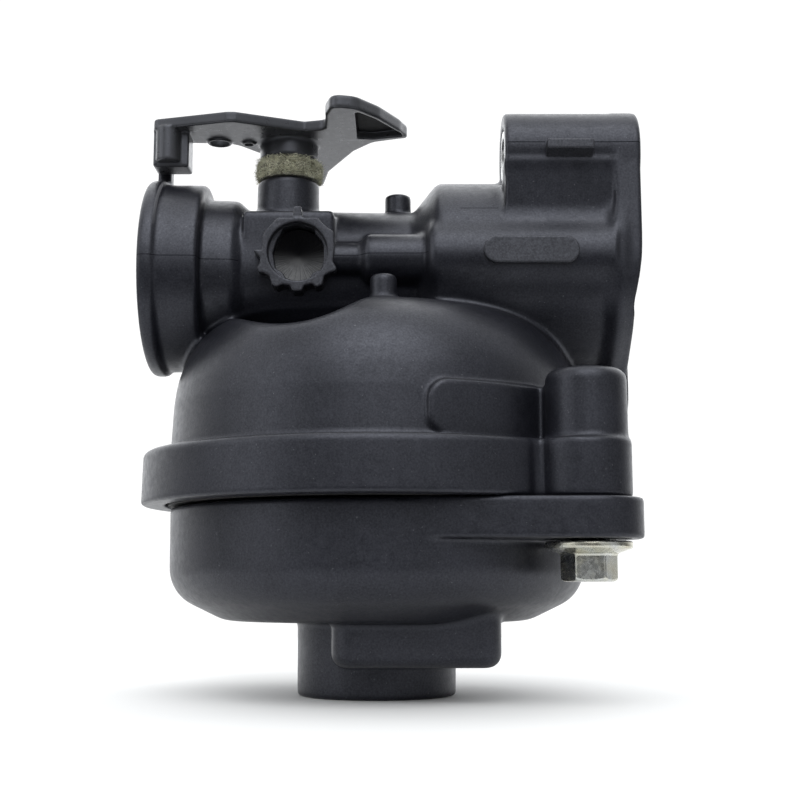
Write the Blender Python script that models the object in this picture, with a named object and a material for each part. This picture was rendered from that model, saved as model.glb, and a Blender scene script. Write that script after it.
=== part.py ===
"""Small-engine float carburetor with a moulded nylon body, built as separate named parts.

Frame: the origin is the centre of the round foot under the float bowl and +Z is up. +X runs
along the bore, from the bell that faces the engine to the flange that faces the air cleaner.
The side with the adjusting port faces -Y.
"""

import math

import bmesh
import bpy
from mathutils import Matrix, Vector
from mathutils.geometry import convex_hull_2d

MM = 0.001
GAP = 0.3 * MM

# Bore and barrel, along X
BORE_Z = 68.5 * MM
BELL_FACE_X = -37.7 * MM
FLANGE_FACE_X = 42.2 * MM
THROTTLE_BORE_R = 8.5 * MM
VENTURI_R = 6.8 * MM
HORN_BORE_R = 12.8 * MM
BELL_BORE_R = 13.4 * MM
BLOCK_X = (-21.6 * MM, -6.9 * MM)
BLOCK_TOP_Z = 77.4 * MM
BLOCK_HALF_WIDTH = 11.4 * MM

# Float chamber, round the Z axis
FOOT_R = 12.5 * MM
BOWL_R = 33.5 * MM
BOWL_TOP_Z = 29.7 * MM
RIM_R = 38.2 * MM
RIM_Z = (30.0 * MM, 38.4 * MM)
CHAMBER_ROOF_Z = 53.5 * MM
CHAMBER_R = 29.6 * MM

# Bolted joint between bowl and body: one bolt each side, opposite each other
BOLT_PLACES = {"front": (31.0 * MM, -26.0 * MM), "rear": (-29.6 * MM, 27.2 * MM)}
EAR_R = 8.0 * MM
EAR_BOTTOM_Z = 24.0 * MM
POST_R = 5.9 * MM
POST_TOP_Z = 48.8 * MM
NOTCH_PLACE = (24.6 * MM, 31.2 * MM)
NOTCH_R = 2.6 * MM
BOLT_SHANK_R = 2.4 * MM
BOLT_FLANGE_R = 6.3 * MM
BOLT_FLANGE_H = 1.1 * MM
HEX_ACROSS_FLATS = 8.0 * MM
HEX_H = 4.6 * MM

# Throttle shaft, along Z, and its lever. A link hole is (X, Y, radius, height of the boss under it)
SHAFT_X = -15.2 * MM
SHAFT_R = 2.2 * MM
SHAFT_BOSS_R = 5.2 * MM
SHAFT_BOSS_TOP_Z = 85.1 * MM
SHAFT_FOOT_Z = 57.6 * MM
SHAFT_TOP_Z = 94.2 * MM
FELT_TOP_Z = 88.5 * MM
LEVER_Z = (92.0 * MM, 93.8 * MM)
LEVER_ARM_TOP_Z = 94.1 * MM
LINK_HOLES = [
    (-26.8 * MM, -2.1 * MM, 1.3 * MM, 1.0 * MM),
    (-21.9 * MM, -1.4 * MM, 0.6 * MM, 0.7 * MM),
    (-13.3 * MM, 20.6 * MM, 1.4 * MM, 0.8 * MM),
]
STOP_FOOT_Z = 86.0 * MM
THROTTLE_PLATE_R = 8.1 * MM
THROTTLE_PLATE_T = 0.9 * MM

# The cam arm's edge from the notch round to its tip, and a last corner inside the lever: (x, y, radius) in mm
CAM_EDGE = [
    (-8.2, -14.6, 2.0), (-7.0, -18.6, 1.6), (-3.2, -17.6, 3.0), (0.4, -13.2, 6.0), (3.7, -7.2, 6.0),
    (5.1, -3.9, 0.6), (-6.4, -2.4, 0.6),
]

# Adjusting port on the front of the barrel
PORT_CENTRE = (-12.5 * MM, 69.8 * MM)
PORT_FACE_Y = -14.2 * MM
PORT_FLOOR_Y = -9.7 * MM
PORT_HOLE_R = 4.5 * MM
PORT_RING_R = 5.7 * MM
PORT_LOBE_R = 6.9 * MM
SCOOP_R = 13.9 * MM

# Stepped passage tube on the front of the barrel
TUBE_Y = -11.0 * MM
TUBE_Z = 69.2 * MM

# Mounting studs, along X
STUDS = {"upper": (-8.5 * MM, 87.0 * MM), "lower": (8.5 * MM, 50.0 * MM)}
STUD_BOSS_R = 7.1 * MM
STUD_BOSS_X = 20.5 * MM
SLEEVE_R = 4.2 * MM
SLEEVE_HOLE_R = 3.2 * MM

# Fuel inlet, float and needle
INLET_Z = 50.5 * MM
NEEDLE_Y = 17.0 * MM
NEEDLE_R = 1.6 * MM
PIN_Y = 24.5 * MM
PIN_Z = 40.5 * MM
PIN_R = 0.9 * MM
AIR_JET_RING_R = 14.0 * MM
AIR_JET_ANGLES = {"main": 28, "idle": 152}
NOZZLE_X = 1.0 * MM
NOZZLE_R = 1.8 * MM
LEG_R = 5.0 * MM
LEG_FOOT_Z = 21.5 * MM

ALONG_X = Matrix.Rotation(math.radians(90), 4, "Y")
ALONG_Y = Matrix.Rotation(math.radians(-90), 4, "X")
UPRIGHT = Matrix.Identity(4)

# A section drawn as (Y, Z) and run along X
SECTION_TO_X = Matrix(((0, 0, 1, 0), (1, 0, 0, 0), (0, 1, 0, 0), (0, 0, 0, 1)))
# An outline drawn as (X, Z) and run along Y, its low end at the front
FRONT_TO_Y = Matrix(((1, 0, 0, 0), (0, 0, 1, 0), (0, 1, 0, 0), (0, 0, 0, 1)))


def at(x=0.0, y=0.0, z=0.0):
    return Matrix.Translation((x, y, z))


def clear_scene():
    for obj in list(bpy.data.objects):
        bpy.data.objects.remove(obj, do_unlink=True)


def make_material(name, colour, roughness, metallic=0.0):
    material = bpy.data.materials.new(name)
    material.use_nodes = True
    shader = material.node_tree.nodes["Principled BSDF"]
    shader.inputs["Base Color"].default_value = (*colour, 1.0)
    shader.inputs["Roughness"].default_value = roughness
    shader.inputs["Metallic"].default_value = metallic
    return material


def circle(x, y, radius, count=24, start=0.0, end=360.0):
    """Points on an arc, anticlockwise from start to end in degrees. A full circle leaves the last one out."""
    whole = abs(end - start) >= 360.0
    steps = count if whole else count - 1
    angles = [math.radians(start + (end - start) * i / steps) for i in range(count)]
    return [(x + radius * math.cos(a), y + radius * math.sin(a)) for a in angles]


def hull(circles, count=40):
    """The outline of a belt drawn tight round some circles, each (x, y, radius)."""
    points = [Vector(p) for x, y, radius in circles for p in circle(x, y, radius, count)]
    return [tuple(points[i]) for i in convex_hull_2d(points)]


def rounded(corners, steps=5):
    """A polygon with its corners rounded. Each corner is (x, y, radius)."""
    outline = []
    for i, (x, y, radius) in enumerate(corners):
        here = Vector((x, y))
        if radius == 0:
            outline.append((x, y))
            continue
        before = (Vector(corners[i - 1][:2]) - here).normalized()
        after = (Vector(corners[(i + 1) % len(corners)][:2]) - here).normalized()
        half = before.angle(after) / 2
        reach = radius / math.tan(half)
        centre = here + (before + after).normalized() * radius / math.sin(half)
        first = here + before * reach - centre
        last = here + after * reach - centre
        sweep = first.angle_signed(last)
        for k in range(steps + 1):
            turned_by = Matrix.Rotation(-sweep * k / steps, 2)
            outline.append(tuple(centre + turned_by @ first))
    return outline


def turned(profile, frame=UPRIGHT, segments=48, ring=False):
    """A solid of revolution round Z: profile is (radius, height), closed on itself for a ring."""
    mesh = bmesh.new()
    loops = []
    for radius, height in profile:
        loops.append([mesh.verts.new((*p, height)) for p in circle(0, 0, radius, segments)])
    pairs = list(zip(loops, loops[1:]))
    if ring:
        pairs.append((loops[-1], loops[0]))
    else:
        mesh.faces.new(loops[0])
        mesh.faces.new(loops[-1])
    for low, high in pairs:
        for i in range(segments):
            j = (i + 1) % segments
            mesh.faces.new((low[i], low[j], high[j], high[i]))
    bmesh.ops.recalc_face_normals(mesh, faces=mesh.faces)
    mesh.transform(frame)
    return mesh


def rod(radius, low, high, frame=UPRIGHT, segments=24, chamfer=0.0):
    """A round bar from low to high, with chamfered ends if wanted."""
    profile = [(radius, low), (radius, high)]
    if chamfer:
        end_r = radius - chamfer
        profile = [(end_r, low), (radius, low + chamfer), (radius, high - chamfer), (end_r, high)]
    return turned(profile, frame, segments)


def prism(outline, low, high, frame=UPRIGHT, chamfer=0.0):
    """An outline run straight from low to high, its top edge chamfered if wanted."""
    mesh = bmesh.new()
    base = mesh.faces.new([mesh.verts.new((x, y, low)) for x, y in outline])
    top = bmesh.ops.extrude_face_region(mesh, geom=[base])["geom"]
    lifted = [v for v in top if isinstance(v, bmesh.types.BMVert)]
    bmesh.ops.translate(mesh, verts=lifted, vec=(0, 0, high - low))
    if chamfer:
        edges = [e for e in mesh.edges if all(v in set(lifted) for v in e.verts)]
        bmesh.ops.bevel(mesh, geom=edges, offset=chamfer, segments=1, profile=0.5, affect="EDGES")
    bmesh.ops.recalc_face_normals(mesh, faces=mesh.faces)
    mesh.transform(frame)
    bmesh.ops.recalc_face_normals(mesh, faces=mesh.faces)
    return mesh


def block(x, y, z):
    """A box from its lowest and highest X, Y and Z."""
    return prism([(x[0], y[0]), (x[1], y[0]), (x[1], y[1]), (x[0], y[1])], z[0], z[1])


def add_object(name, mesh, material=None, smooth_angle=35):
    data = bpy.data.meshes.new(name)
    mesh.to_mesh(data)
    mesh.free()
    obj = bpy.data.objects.new(name, data)
    bpy.context.scene.collection.objects.link(obj)
    if material:
        data.materials.append(material)
    data.shade_smooth()
    data.set_sharp_from_angle(angle=math.radians(smooth_angle))
    return obj


def shape_by(target, operation, tools):
    """Joins the tools to the target, or cuts them from it, through a hidden collection."""
    name = f"{target.name}_{operation.lower()}_{len(target.modifiers)}"
    group = bpy.data.collections.new(name)
    bpy.context.scene.collection.children.link(group)
    for i, mesh in enumerate(tools):
        tool = add_object(f"{name}_{i:02d}", mesh)
        bpy.context.scene.collection.objects.unlink(tool)
        group.objects.link(tool)
        tool.hide_render = True
        tool.display_type = "WIRE"
    modifier = target.modifiers.new(name, "BOOLEAN")
    modifier.operation = operation
    modifier.operand_type = "COLLECTION"
    modifier.collection = group


def set_origin(obj, point):
    """Moves an object's origin to a joint's axis, leaving its shape where it is."""
    obj.data.transform(at(*(-Vector(point))))
    obj.location = point


# ---- Body moulding ----------------------------------------------------------------------------


def dome():
    """Rim and float-chamber cover."""
    shoulder = [
        (33.3, 46.0), (32.8, 49.4), (31.9, 52.3), (30.5, 55.2), (28.6, 57.8), (25.4, 59.8), (21.4, 60.9),
        (16.5, 61.6), (6.0, 62.0),
    ]
    profile = [
        (RIM_R - 0.4 * MM, RIM_Z[0]),
        (RIM_R, RIM_Z[0] + 0.4 * MM),
        (RIM_R - 0.2 * MM, RIM_Z[1] - 0.7 * MM),
        (RIM_R - 0.9 * MM, RIM_Z[1]),
        (BOWL_R + 0.4 * MM, RIM_Z[1]),
        (BOWL_R, RIM_Z[1] + 0.4 * MM),
    ]
    return turned(profile + [(r * MM, z * MM) for r, z in shoulder], segments=48)


def barrel():
    """Bell, neck, throat and air horn in one turning along the bore."""
    profile = [
        (15.4, -37.7), (16.2, -37.2), (16.4, -36.4), (16.4, -35.4), (15.7, -35.0), (15.6, -28.8),
        (15.2, -28.3), (13.2, -28.1), (13.0, -23.4), (11.4, -21.5), (11.0, 6.2), (15.2, 9.6), (15.9, 11.0),
        (15.9, 38.0),
    ]
    return turned([(r * MM, x * MM) for r, x in profile], at(z=BORE_Z) @ ALONG_X, segments=36)


def shaft_block():
    """The squared block that carries the throttle shaft: flat on top, round below."""
    half = BLOCK_HALF_WIDTH
    lower = circle(0, BORE_Z, half, 19, 180, 360)
    top = rounded([(half, BLOCK_TOP_Z, 1.2 * MM), (-half, BLOCK_TOP_Z, 1.2 * MM), (-half, BORE_Z, 0)], 3)
    return prism(lower[1:] + top, BLOCK_X[0], BLOCK_X[1], SECTION_TO_X)


def shaft_boss():
    profile = [
        (SHAFT_BOSS_R + 0.2 * MM, BORE_Z),
        (SHAFT_BOSS_R, SHAFT_BOSS_TOP_Z - 0.4 * MM),
        (SHAFT_BOSS_R - 0.4 * MM, SHAFT_BOSS_TOP_Z),
    ]
    return turned(profile, at(SHAFT_X), segments=24)


def port_outline():
    """Twelve hours round the port: index lobes from four to nine, low corners above."""
    outline = []
    for hour in range(12):
        middle = 90 - 30 * hour
        if 4 <= hour <= 8:
            steps = [(-13, PORT_RING_R), (-7, PORT_RING_R + 0.1 * MM), (-5, PORT_LOBE_R - 0.2 * MM),
                     (0, PORT_LOBE_R), (5, PORT_LOBE_R - 0.2 * MM), (7, PORT_RING_R + 0.1 * MM)]
        elif hour == 9:
            steps = [(-13, PORT_RING_R), (-9, PORT_LOBE_R + 0.9 * MM), (2, PORT_RING_R + 0.1 * MM)]
        else:
            steps = [(-13, PORT_RING_R), (0, PORT_RING_R + 0.35 * MM)]
        for turn, radius in steps:
            angle = math.radians(middle - turn)
            outline.append((radius * math.cos(angle), radius * math.sin(angle)))
    return outline[::-1]


def port_ring():
    """The indexed ring round the adjusting port, and the rib that runs up from it."""
    x, z = PORT_CENTRE
    rib = block((x - 0.8 * MM, x + 0.8 * MM), (PORT_FACE_Y, -8 * MM), (z + 5 * MM, BLOCK_TOP_Z))
    ring = prism(port_outline(), PORT_FACE_Y, -8 * MM, at(x, 0, z) @ FRONT_TO_Y)
    return [ring, rib]


def passage_tube():
    """Three steps of one tube along the front of the barrel, and the oblong pad on it."""
    profile = [
        (2.6, -9.0), (2.6, -2.7), (3.2, -2.3), (4.0, -1.6), (4.0, 7.6), (4.9, 7.8),
        (5.7, 8.3), (6.05, 9.2), (6.05, 37.0),
    ]
    frame = at(0, TUBE_Y, TUBE_Z) @ ALONG_X
    tube = turned([(r * MM, x * MM) for r, x in profile], frame, segments=20)
    ends = [(19.0 * MM, TUBE_Z + 0.1 * MM, 2.2 * MM), (29.6 * MM, TUBE_Z + 0.1 * MM, 2.2 * MM)]
    pad = prism(hull(ends, 20), -17.5 * MM, -12 * MM, FRONT_TO_Y)
    return [tube, pad]


def flange():
    """The diagonal air-cleaner flange, its two stud bosses and the web above the passage tube."""
    places = [
        (*STUDS["upper"], STUD_BOSS_R), (0, BORE_Z, 15.4 * MM), (*STUDS["lower"], STUD_BOSS_R),
    ]
    plate = prism(hull(places, 28), 37.6 * MM, FLANGE_FACE_X, SECTION_TO_X, chamfer=0.4 * MM)
    upper = at(0, *STUDS["upper"]) @ ALONG_X
    lower = at(0, *STUDS["lower"]) @ ALONG_X
    bosses = [
        rod(STUD_BOSS_R, STUD_BOSS_X, FLANGE_FACE_X, upper, 24, 0.4 * MM),
        rod(STUD_BOSS_R, 30.0 * MM, FLANGE_FACE_X, lower, 24, 0.4 * MM),
    ]
    section = rounded(
        [(-12.6 * MM, 70 * MM, 0), (-4 * MM, 70 * MM, 0), (-2.4 * MM, 84 * MM, 0), (-13.4 * MM, 84 * MM, 0),
         (-11.6 * MM, 78 * MM, 0)]
    )
    web = prism(section, 20.2 * MM, 38.0 * MM, SECTION_TO_X)
    tab = prism(
        [(27.0 * MM, 85.5 * MM), (34.4 * MM, 85.5 * MM), (34.4 * MM, 87.1 * MM), (27.5 * MM, 87.1 * MM)],
        -17.4 * MM, -13 * MM, FRONT_TO_Y,
    )
    return [plate, web, tab] + bosses


def bolt_posts():
    """Columns that take the bowl bolts, each tied to the dome by a web."""
    parts = []
    for x, y in BOLT_PLACES.values():
        profile = [
            (POST_R + 0.2 * MM, RIM_Z[0]),
            (POST_R, POST_TOP_Z - 1.5 * MM),
            (POST_R - 0.5 * MM, POST_TOP_Z - 0.5 * MM),
            (POST_R - 1.5 * MM, POST_TOP_Z),
        ]
        parts.append(turned(profile, at(x, y), segments=20))
        towards = Matrix.Rotation(math.atan2(y, x), 4, "Z")
        web = block((29.5 * MM, 38 * MM), (-3 * MM, 3 * MM), (RIM_Z[0] + 0.2 * MM, 46.4 * MM))
        web.transform(towards)
        parts.append(web)
    return parts


def small_posts():
    """Two moulded locating pegs, and the idle stop that stands on the bell."""
    top_peg = rod(2.2 * MM, 76 * MM, 82.9 * MM, at(3.4 * MM), 16, 0.3 * MM)
    dome_peg = rod(2.1 * MM, 52 * MM, 65.0 * MM, at(1.2 * MM, -18 * MM), 16, 0.7 * MM)
    stop = block((-37.2 * MM, -34.9 * MM), (-1.8 * MM, 1.4 * MM), (82 * MM, 89.5 * MM))
    return [top_peg, dome_peg, stop]


def blank_label_pad():
    """A plain raised pad on the front right of the dome wall, following its curve."""
    outer = circle(0, 0, BOWL_R + 0.8 * MM, 12, -77, -41)
    inner = circle(0, 0, BOWL_R - 1.2 * MM, 12, -41, -77)
    return prism(outer + inner, RIM_Z[1] - 0.4 * MM, 46.6 * MM)


def float_chamber():
    """The hollow under the dome, with 2 mm walls."""
    profile = [
        (CHAMBER_R, RIM_Z[0] - 1 * MM), (CHAMBER_R + 0.6 * MM, 41 * MM), (CHAMBER_R + 0.4 * MM, 47 * MM),
        (28.6 * MM, 50 * MM), (25.0 * MM, 52.4 * MM), (20.0 * MM, CHAMBER_ROOF_Z),
    ]
    return turned(profile, segments=32)


def chamber_details():
    """What hangs inside the chamber: nozzle leg, needle-seat boss and float-pin lugs."""
    leg = rod(LEG_R, LEG_FOOT_Z, CHAMBER_ROOF_Z + 2 * MM, at(NOZZLE_X), 20)
    seat_boss = rod(4.0 * MM, 46.0 * MM, CHAMBER_ROOF_Z + 1 * MM, at(0, NEEDLE_Y), 16)
    gallery = rod(4.2 * MM, 13.5 * MM, 33.5 * MM, at(0, 0, INLET_Z) @ ALONG_Y, 16)
    lugs = []
    for side in (-1, 1):
        low = side * 7.0 * MM - 1.2 * MM
        depth = (PIN_Y - 2.6 * MM, PIN_Y + 2.6 * MM)
        lugs.append(block((low, low + 2.4 * MM), depth, (38.2 * MM, 53.0 * MM)))
    inlet_boss = rod(5.2 * MM, 30.6 * MM, 37.0 * MM, at(0, 0, INLET_Z) @ ALONG_Y, 20, 0.4 * MM)
    return [leg, seat_boss, gallery, inlet_boss] + lugs


def port_scoop():
    """The hollow in the dome's shoulder that gives a tool room round the adjusting port."""
    x, z = PORT_CENTRE
    return rod(SCOOP_R, -40 * MM, -6 * MM, at(x, 0, z) @ ALONG_Y, 40)


def air_jet_frame(angle):
    """A frame along the air passage drilled this many degrees round and below the horn's centre."""
    y = AIR_JET_RING_R * math.cos(math.radians(angle))
    drop = AIR_JET_RING_R * math.sin(math.radians(angle))
    return at(0, y, BORE_Z - drop) @ ALONG_X


def body_passages():
    """Everything that is bored or cored out of the finished outside."""
    bore = [
        (BELL_BORE_R, BELL_FACE_X - 1 * MM), (BELL_BORE_R, -30.4 * MM),
        (THROTTLE_BORE_R + 1.6 * MM, -30.4 * MM), (THROTTLE_BORE_R, -27.0 * MM),
        (THROTTLE_BORE_R, -6.5 * MM), (VENTURI_R, -2.0 * MM),
        (VENTURI_R, 1.0 * MM), (HORN_BORE_R - 1.4 * MM, 12.5 * MM), (HORN_BORE_R, 22 * MM),
        (HORN_BORE_R, FLANGE_FACE_X - 1 * MM), (HORN_BORE_R + 2 * MM, FLANGE_FACE_X + 1 * MM),
    ]
    ring_groove = [(BELL_BORE_R - 1 * MM, -34.4 * MM), (BELL_BORE_R + 1.3 * MM, -34.4 * MM),
                   (BELL_BORE_R + 1.3 * MM, -31.6 * MM), (BELL_BORE_R - 1 * MM, -31.6 * MM)]
    along_bore = at(z=BORE_Z) @ ALONG_X
    x, z = PORT_CENTRE
    tools = [
        turned(bore, along_bore, segments=32),
        turned(ring_groove, along_bore, segments=32),
        rod(SHAFT_R + GAP, SHAFT_FOOT_Z - GAP, 90 * MM, at(SHAFT_X), 24),
        rod(PORT_HOLE_R, PORT_FACE_Y - 1 * MM, PORT_FLOOR_Y, at(x, 0, z) @ ALONG_Y, 24),
        rod(NOZZLE_R + GAP, LEG_FOOT_Z + 4 * MM, BORE_Z, at(NOZZLE_X), 20),
        rod(2.7 * MM, LEG_FOOT_Z - 1 * MM, LEG_FOOT_Z + 5 * MM, at(NOZZLE_X), 20),
        rod(2.4 * MM, 44 * MM, 49.6 * MM, at(0, NEEDLE_Y), 20),
        rod(1.2 * MM, 46 * MM, INLET_Z, at(0, NEEDLE_Y), 16),
        rod(1.5 * MM, NEEDLE_Y, 40 * MM, at(0, 0, INLET_Z) @ ALONG_Y, 16),
        rod(2.3 * MM, 29.5 * MM, 40 * MM, at(0, 0, INLET_Z) @ ALONG_Y, 20),
        rod(PIN_R + GAP, -9 * MM, 9 * MM, at(0, PIN_Y, PIN_Z) @ ALONG_X, 16),
        rod(SLEEVE_R + GAP, STUD_BOSS_X - 1 * MM, FLANGE_FACE_X + 1 * MM, at(0, *STUDS["upper"]) @ ALONG_X, 20),
        rod(SLEEVE_R + GAP, 31.5 * MM, FLANGE_FACE_X + 1 * MM, at(0, *STUDS["lower"]) @ ALONG_X, 20),
        turned([(31.2 * MM, 29 * MM), (34.2 * MM, 29 * MM), (34.2 * MM, 31.6 * MM), (31.2 * MM, 31.6 * MM)],
               segments=40, ring=True),
    ]
    for angle in AIR_JET_ANGLES.values():
        tools.append(rod(1.3 * MM, 34 * MM, 45 * MM, air_jet_frame(angle), 16))
    for x, y in BOLT_PLACES.values():
        tools.append(rod(BOLT_SHANK_R + GAP, 29 * MM, 46 * MM, at(x, y), 16))
        side = math.copysign(1, x)
        notch = at(side * NOTCH_PLACE[0], -side * NOTCH_PLACE[1])
        tools.append(rod(NOTCH_R, 28 * MM, 50 * MM, notch, 20))
    return tools


def carburetor_body(material):
    body = add_object("carburetor_body", dome(), material)
    outside = [barrel(), shaft_block(), shaft_boss(), blank_label_pad()]
    outside += port_ring() + passage_tube() + flange() + bolt_posts() + small_posts()
    shape_by(body, "DIFFERENCE", [port_scoop()])
    shape_by(body, "UNION", outside)
    shape_by(body, "DIFFERENCE", [float_chamber()])
    shape_by(body, "UNION", chamber_details())
    shape_by(body, "DIFFERENCE", body_passages())
    return body


# ---- Bowl and its fastening -------------------------------------------------------------------


def float_bowl(material):
    outer = [
        (12.0, 11.6), (24.2, 12.0), (27.4, 12.7), (30.0, 14.1), (31.9, 16.2), (33.0, 18.9), (33.4, 21.5),
        (33.5, 29.7),
    ]
    bowl = add_object("float_bowl", turned([(r * MM, z * MM) for r, z in outer], segments=48), material)
    foot = [
        (FOOT_R - 0.5 * MM, 0.0), (FOOT_R, 0.5 * MM), (FOOT_R + 0.1 * MM, 11.0 * MM),
        (FOOT_R + 0.9 * MM, 12.6 * MM),
    ]
    sump_corners = [(-6.2, -22.0, 3.4), (18.3, -22.0, 3.4), (18.3, 4.0, 3.4), (-6.2, 4.0, 3.4)]
    sump = prism(rounded([(x * MM, y * MM, r * MM) for x, y, r in sump_corners]), -14.5 * MM, -5.6 * MM,
                 chamfer=2.4 * MM)
    sump.transform(Matrix.Diagonal((1, 1, -1, 1)))
    bmesh.ops.reverse_faces(sump, faces=sump.faces)
    front = (*BOLT_PLACES["front"], EAR_R)
    rear = (*BOLT_PLACES["rear"], EAR_R)
    middle = (0, 0, BOWL_R - 1.2 * MM)
    ears = prism(hull([front, middle, rear], 36), EAR_BOTTOM_Z, BOWL_TOP_Z - 0.1 * MM)
    shape_by(bowl, "UNION", [turned(foot, segments=40), sump, ears])

    inner = [(10, 13.8), (23.6, 14.2), (26.6, 15.0), (29.0, 16.6), (30.6, 19.2), (31.2, 22.0), (31.3, 31.0)]
    sump_hole = block((-4.2 * MM, 16.3 * MM), (-20 * MM, -1 * MM), (7.8 * MM, 16 * MM))
    well = rod(6.5 * MM, 6.0 * MM, 16 * MM, segments=20)
    holes = [rod(BOLT_SHANK_R + GAP, 20 * MM, 32 * MM, at(x, y), 16) for x, y in BOLT_PLACES.values()]
    cavity = turned([(r * MM, z * MM) for r, z in inner], segments=32)
    shape_by(bowl, "DIFFERENCE", [cavity, sump_hole, well] + holes)
    return bowl


def bowl_gasket(material):
    """A rubber ring of square section, seated in the groove under the body's rim."""
    low, high = 30.0 * MM, 31.3 * MM
    section = [(31.5 * MM, low), (33.9 * MM, low), (33.9 * MM, high), (31.5 * MM, high)]
    return add_object("bowl_gasket", turned(section, segments=40, ring=True), material)


def bowl_bolt(name, place, material):
    """A hex-head flange screw, driven up through the bowl's ear into the post."""
    top = EAR_BOTTOM_Z - GAP
    flange_low = top - BOLT_FLANGE_H
    hex_low = flange_low - HEX_H
    corner = HEX_ACROSS_FLATS / 2 / math.cos(math.radians(30))
    flange_profile = [
        (BOLT_FLANGE_R - 1.6 * MM, flange_low - 0.5 * MM), (BOLT_FLANGE_R, flange_low + 0.3 * MM),
        (BOLT_FLANGE_R, top),
    ]
    bolt = add_object(name, turned(flange_profile, at(*place), segments=24), material)
    head = prism(circle(*place, corner, 6, 7, 367), -flange_low - 0.1 * MM, -hex_low, chamfer=0.4 * MM)
    head.transform(Matrix.Diagonal((1, 1, -1, 1)))
    bmesh.ops.reverse_faces(head, faces=head.faces)
    shank = rod(BOLT_SHANK_R, top - 0.5 * MM, 44 * MM, at(*place), 16, 0.5 * MM)
    shape_by(bolt, "UNION", [head, shank])
    shape_by(bolt, "DIFFERENCE", [rod(2.6 * MM, hex_low - 1 * MM, hex_low + 0.5 * MM, at(*place), 20)])
    return bolt


# ---- Throttle ---------------------------------------------------------------------------------


def lever_outline():
    """Seen from above: a stop arm to the left, a cam arm to the right front and a rod arm behind."""
    corners = [
        (-37.0, -7.9, 1.0), (-23.9, -11.8, 2.0), (-12.6, -7.1, 1.2), (-8.6, -7.9, 1.6), *CAM_EDGE[:-1],
        (-1.2, -1.6, 3.0), (-4.2, 3.4, 3.0), (-9.2, 15.0, 3.0), (-10.8, 24.2, 2.4), (-16.2, 24.2, 2.4),
        (-17.8, 8.0, 4.0), (-21.2, 4.0, 3.0), (-24.5, -0.4, 4.0), (-36.8, -1.0, 1.0),
    ]
    return rounded([(x * MM, y * MM, r * MM) for x, y, r in corners], 3)


def throttle_lever(material):
    low, high = LEVER_Z
    lever = add_object("throttle_lever", prism(lever_outline(), low, high, chamfer=0.25 * MM), material)
    cam_outline = rounded([(x * MM, y * MM, r * MM) for x, y, r in CAM_EDGE], 3)
    stop_foot = block((-37.1 * MM, -31.2 * MM), (-6.9 * MM, -2.2 * MM), (STOP_FOOT_Z, high - 0.3 * MM))
    parts = [
        prism(cam_outline, low + 0.1 * MM, LEVER_ARM_TOP_Z, chamfer=0.25 * MM),
        stop_foot,
        rod(1.9 * MM, STOP_FOOT_Z, low + 0.5 * MM, at(-33.9 * MM, -7.1 * MM), 20),
        rod(4.9 * MM, FELT_TOP_Z + GAP, high - 0.2 * MM, at(SHAFT_X), 24),
    ]
    for x, y, radius, boss_height in LINK_HOLES:
        parts.append(rod(radius + 0.8 * MM, low - boss_height, high - 0.2 * MM, at(x, y), 16))
    shape_by(lever, "UNION", parts)
    recess = rounded([(-3.4 * MM, -15.6 * MM, 0.4 * MM), (-0.4 * MM, -12.0 * MM, 4 * MM),
                      (3.3 * MM, -5.2 * MM, 0.6 * MM), (-0.8 * MM, -3.6 * MM, 0.8 * MM),
                      (-3.4 * MM, -4.0 * MM, 0.4 * MM)], 3)
    cuts = [
        prism(recess, low - 1 * MM, low + 1.0 * MM),
        rod(SHAFT_R + GAP, FELT_TOP_Z - 1 * MM, high + 2 * MM, at(SHAFT_X), 24),
    ]
    for x, y, radius, _ in LINK_HOLES:
        cuts.append(rod(radius, low - 3 * MM, high + 1 * MM, at(x, y), 16))
    shape_by(lever, "DIFFERENCE", cuts)
    set_origin(lever, (SHAFT_X, 0, low))
    return lever


def throttle_shaft(material):
    """A steel rod with a slot for the plate, and a cross hole for the plate's screw."""
    bar = rod(SHAFT_R, SHAFT_FOOT_Z, SHAFT_TOP_Z, at(SHAFT_X), 28, 0.3 * MM)
    shaft = add_object("throttle_shaft", bar, material)
    half_slot = THROTTLE_PLATE_T / 2 + GAP
    reach = THROTTLE_PLATE_R + GAP
    height = (BORE_Z - reach, BORE_Z + reach)
    slot = block((SHAFT_X - half_slot, SHAFT_X + half_slot), (-4 * MM, 4 * MM), height)
    cross_hole = rod(1.2 * MM, SHAFT_X - 4 * MM, SHAFT_X + 4 * MM, at(z=BORE_Z) @ ALONG_X, 16)
    head_seat = rod(1.9 * MM, SHAFT_X - 4 * MM, SHAFT_X - 1.5 * MM, at(z=BORE_Z) @ ALONG_X, 20)
    shape_by(shaft, "DIFFERENCE", [slot, cross_hole, head_seat])
    set_origin(shaft, (SHAFT_X, 0, BORE_Z))
    return shaft


def throttle_plate(material):
    half = THROTTLE_PLATE_T / 2
    frame = at(SHAFT_X, 0, BORE_Z) @ ALONG_X
    plate = add_object("throttle_plate", rod(THROTTLE_PLATE_R, -half, half, frame, 40), material)
    shape_by(plate, "DIFFERENCE", [rod(1.2 * MM, -2 * MM, 2 * MM, frame, 16)])
    set_origin(plate, (SHAFT_X, 0, BORE_Z))
    return plate


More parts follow.
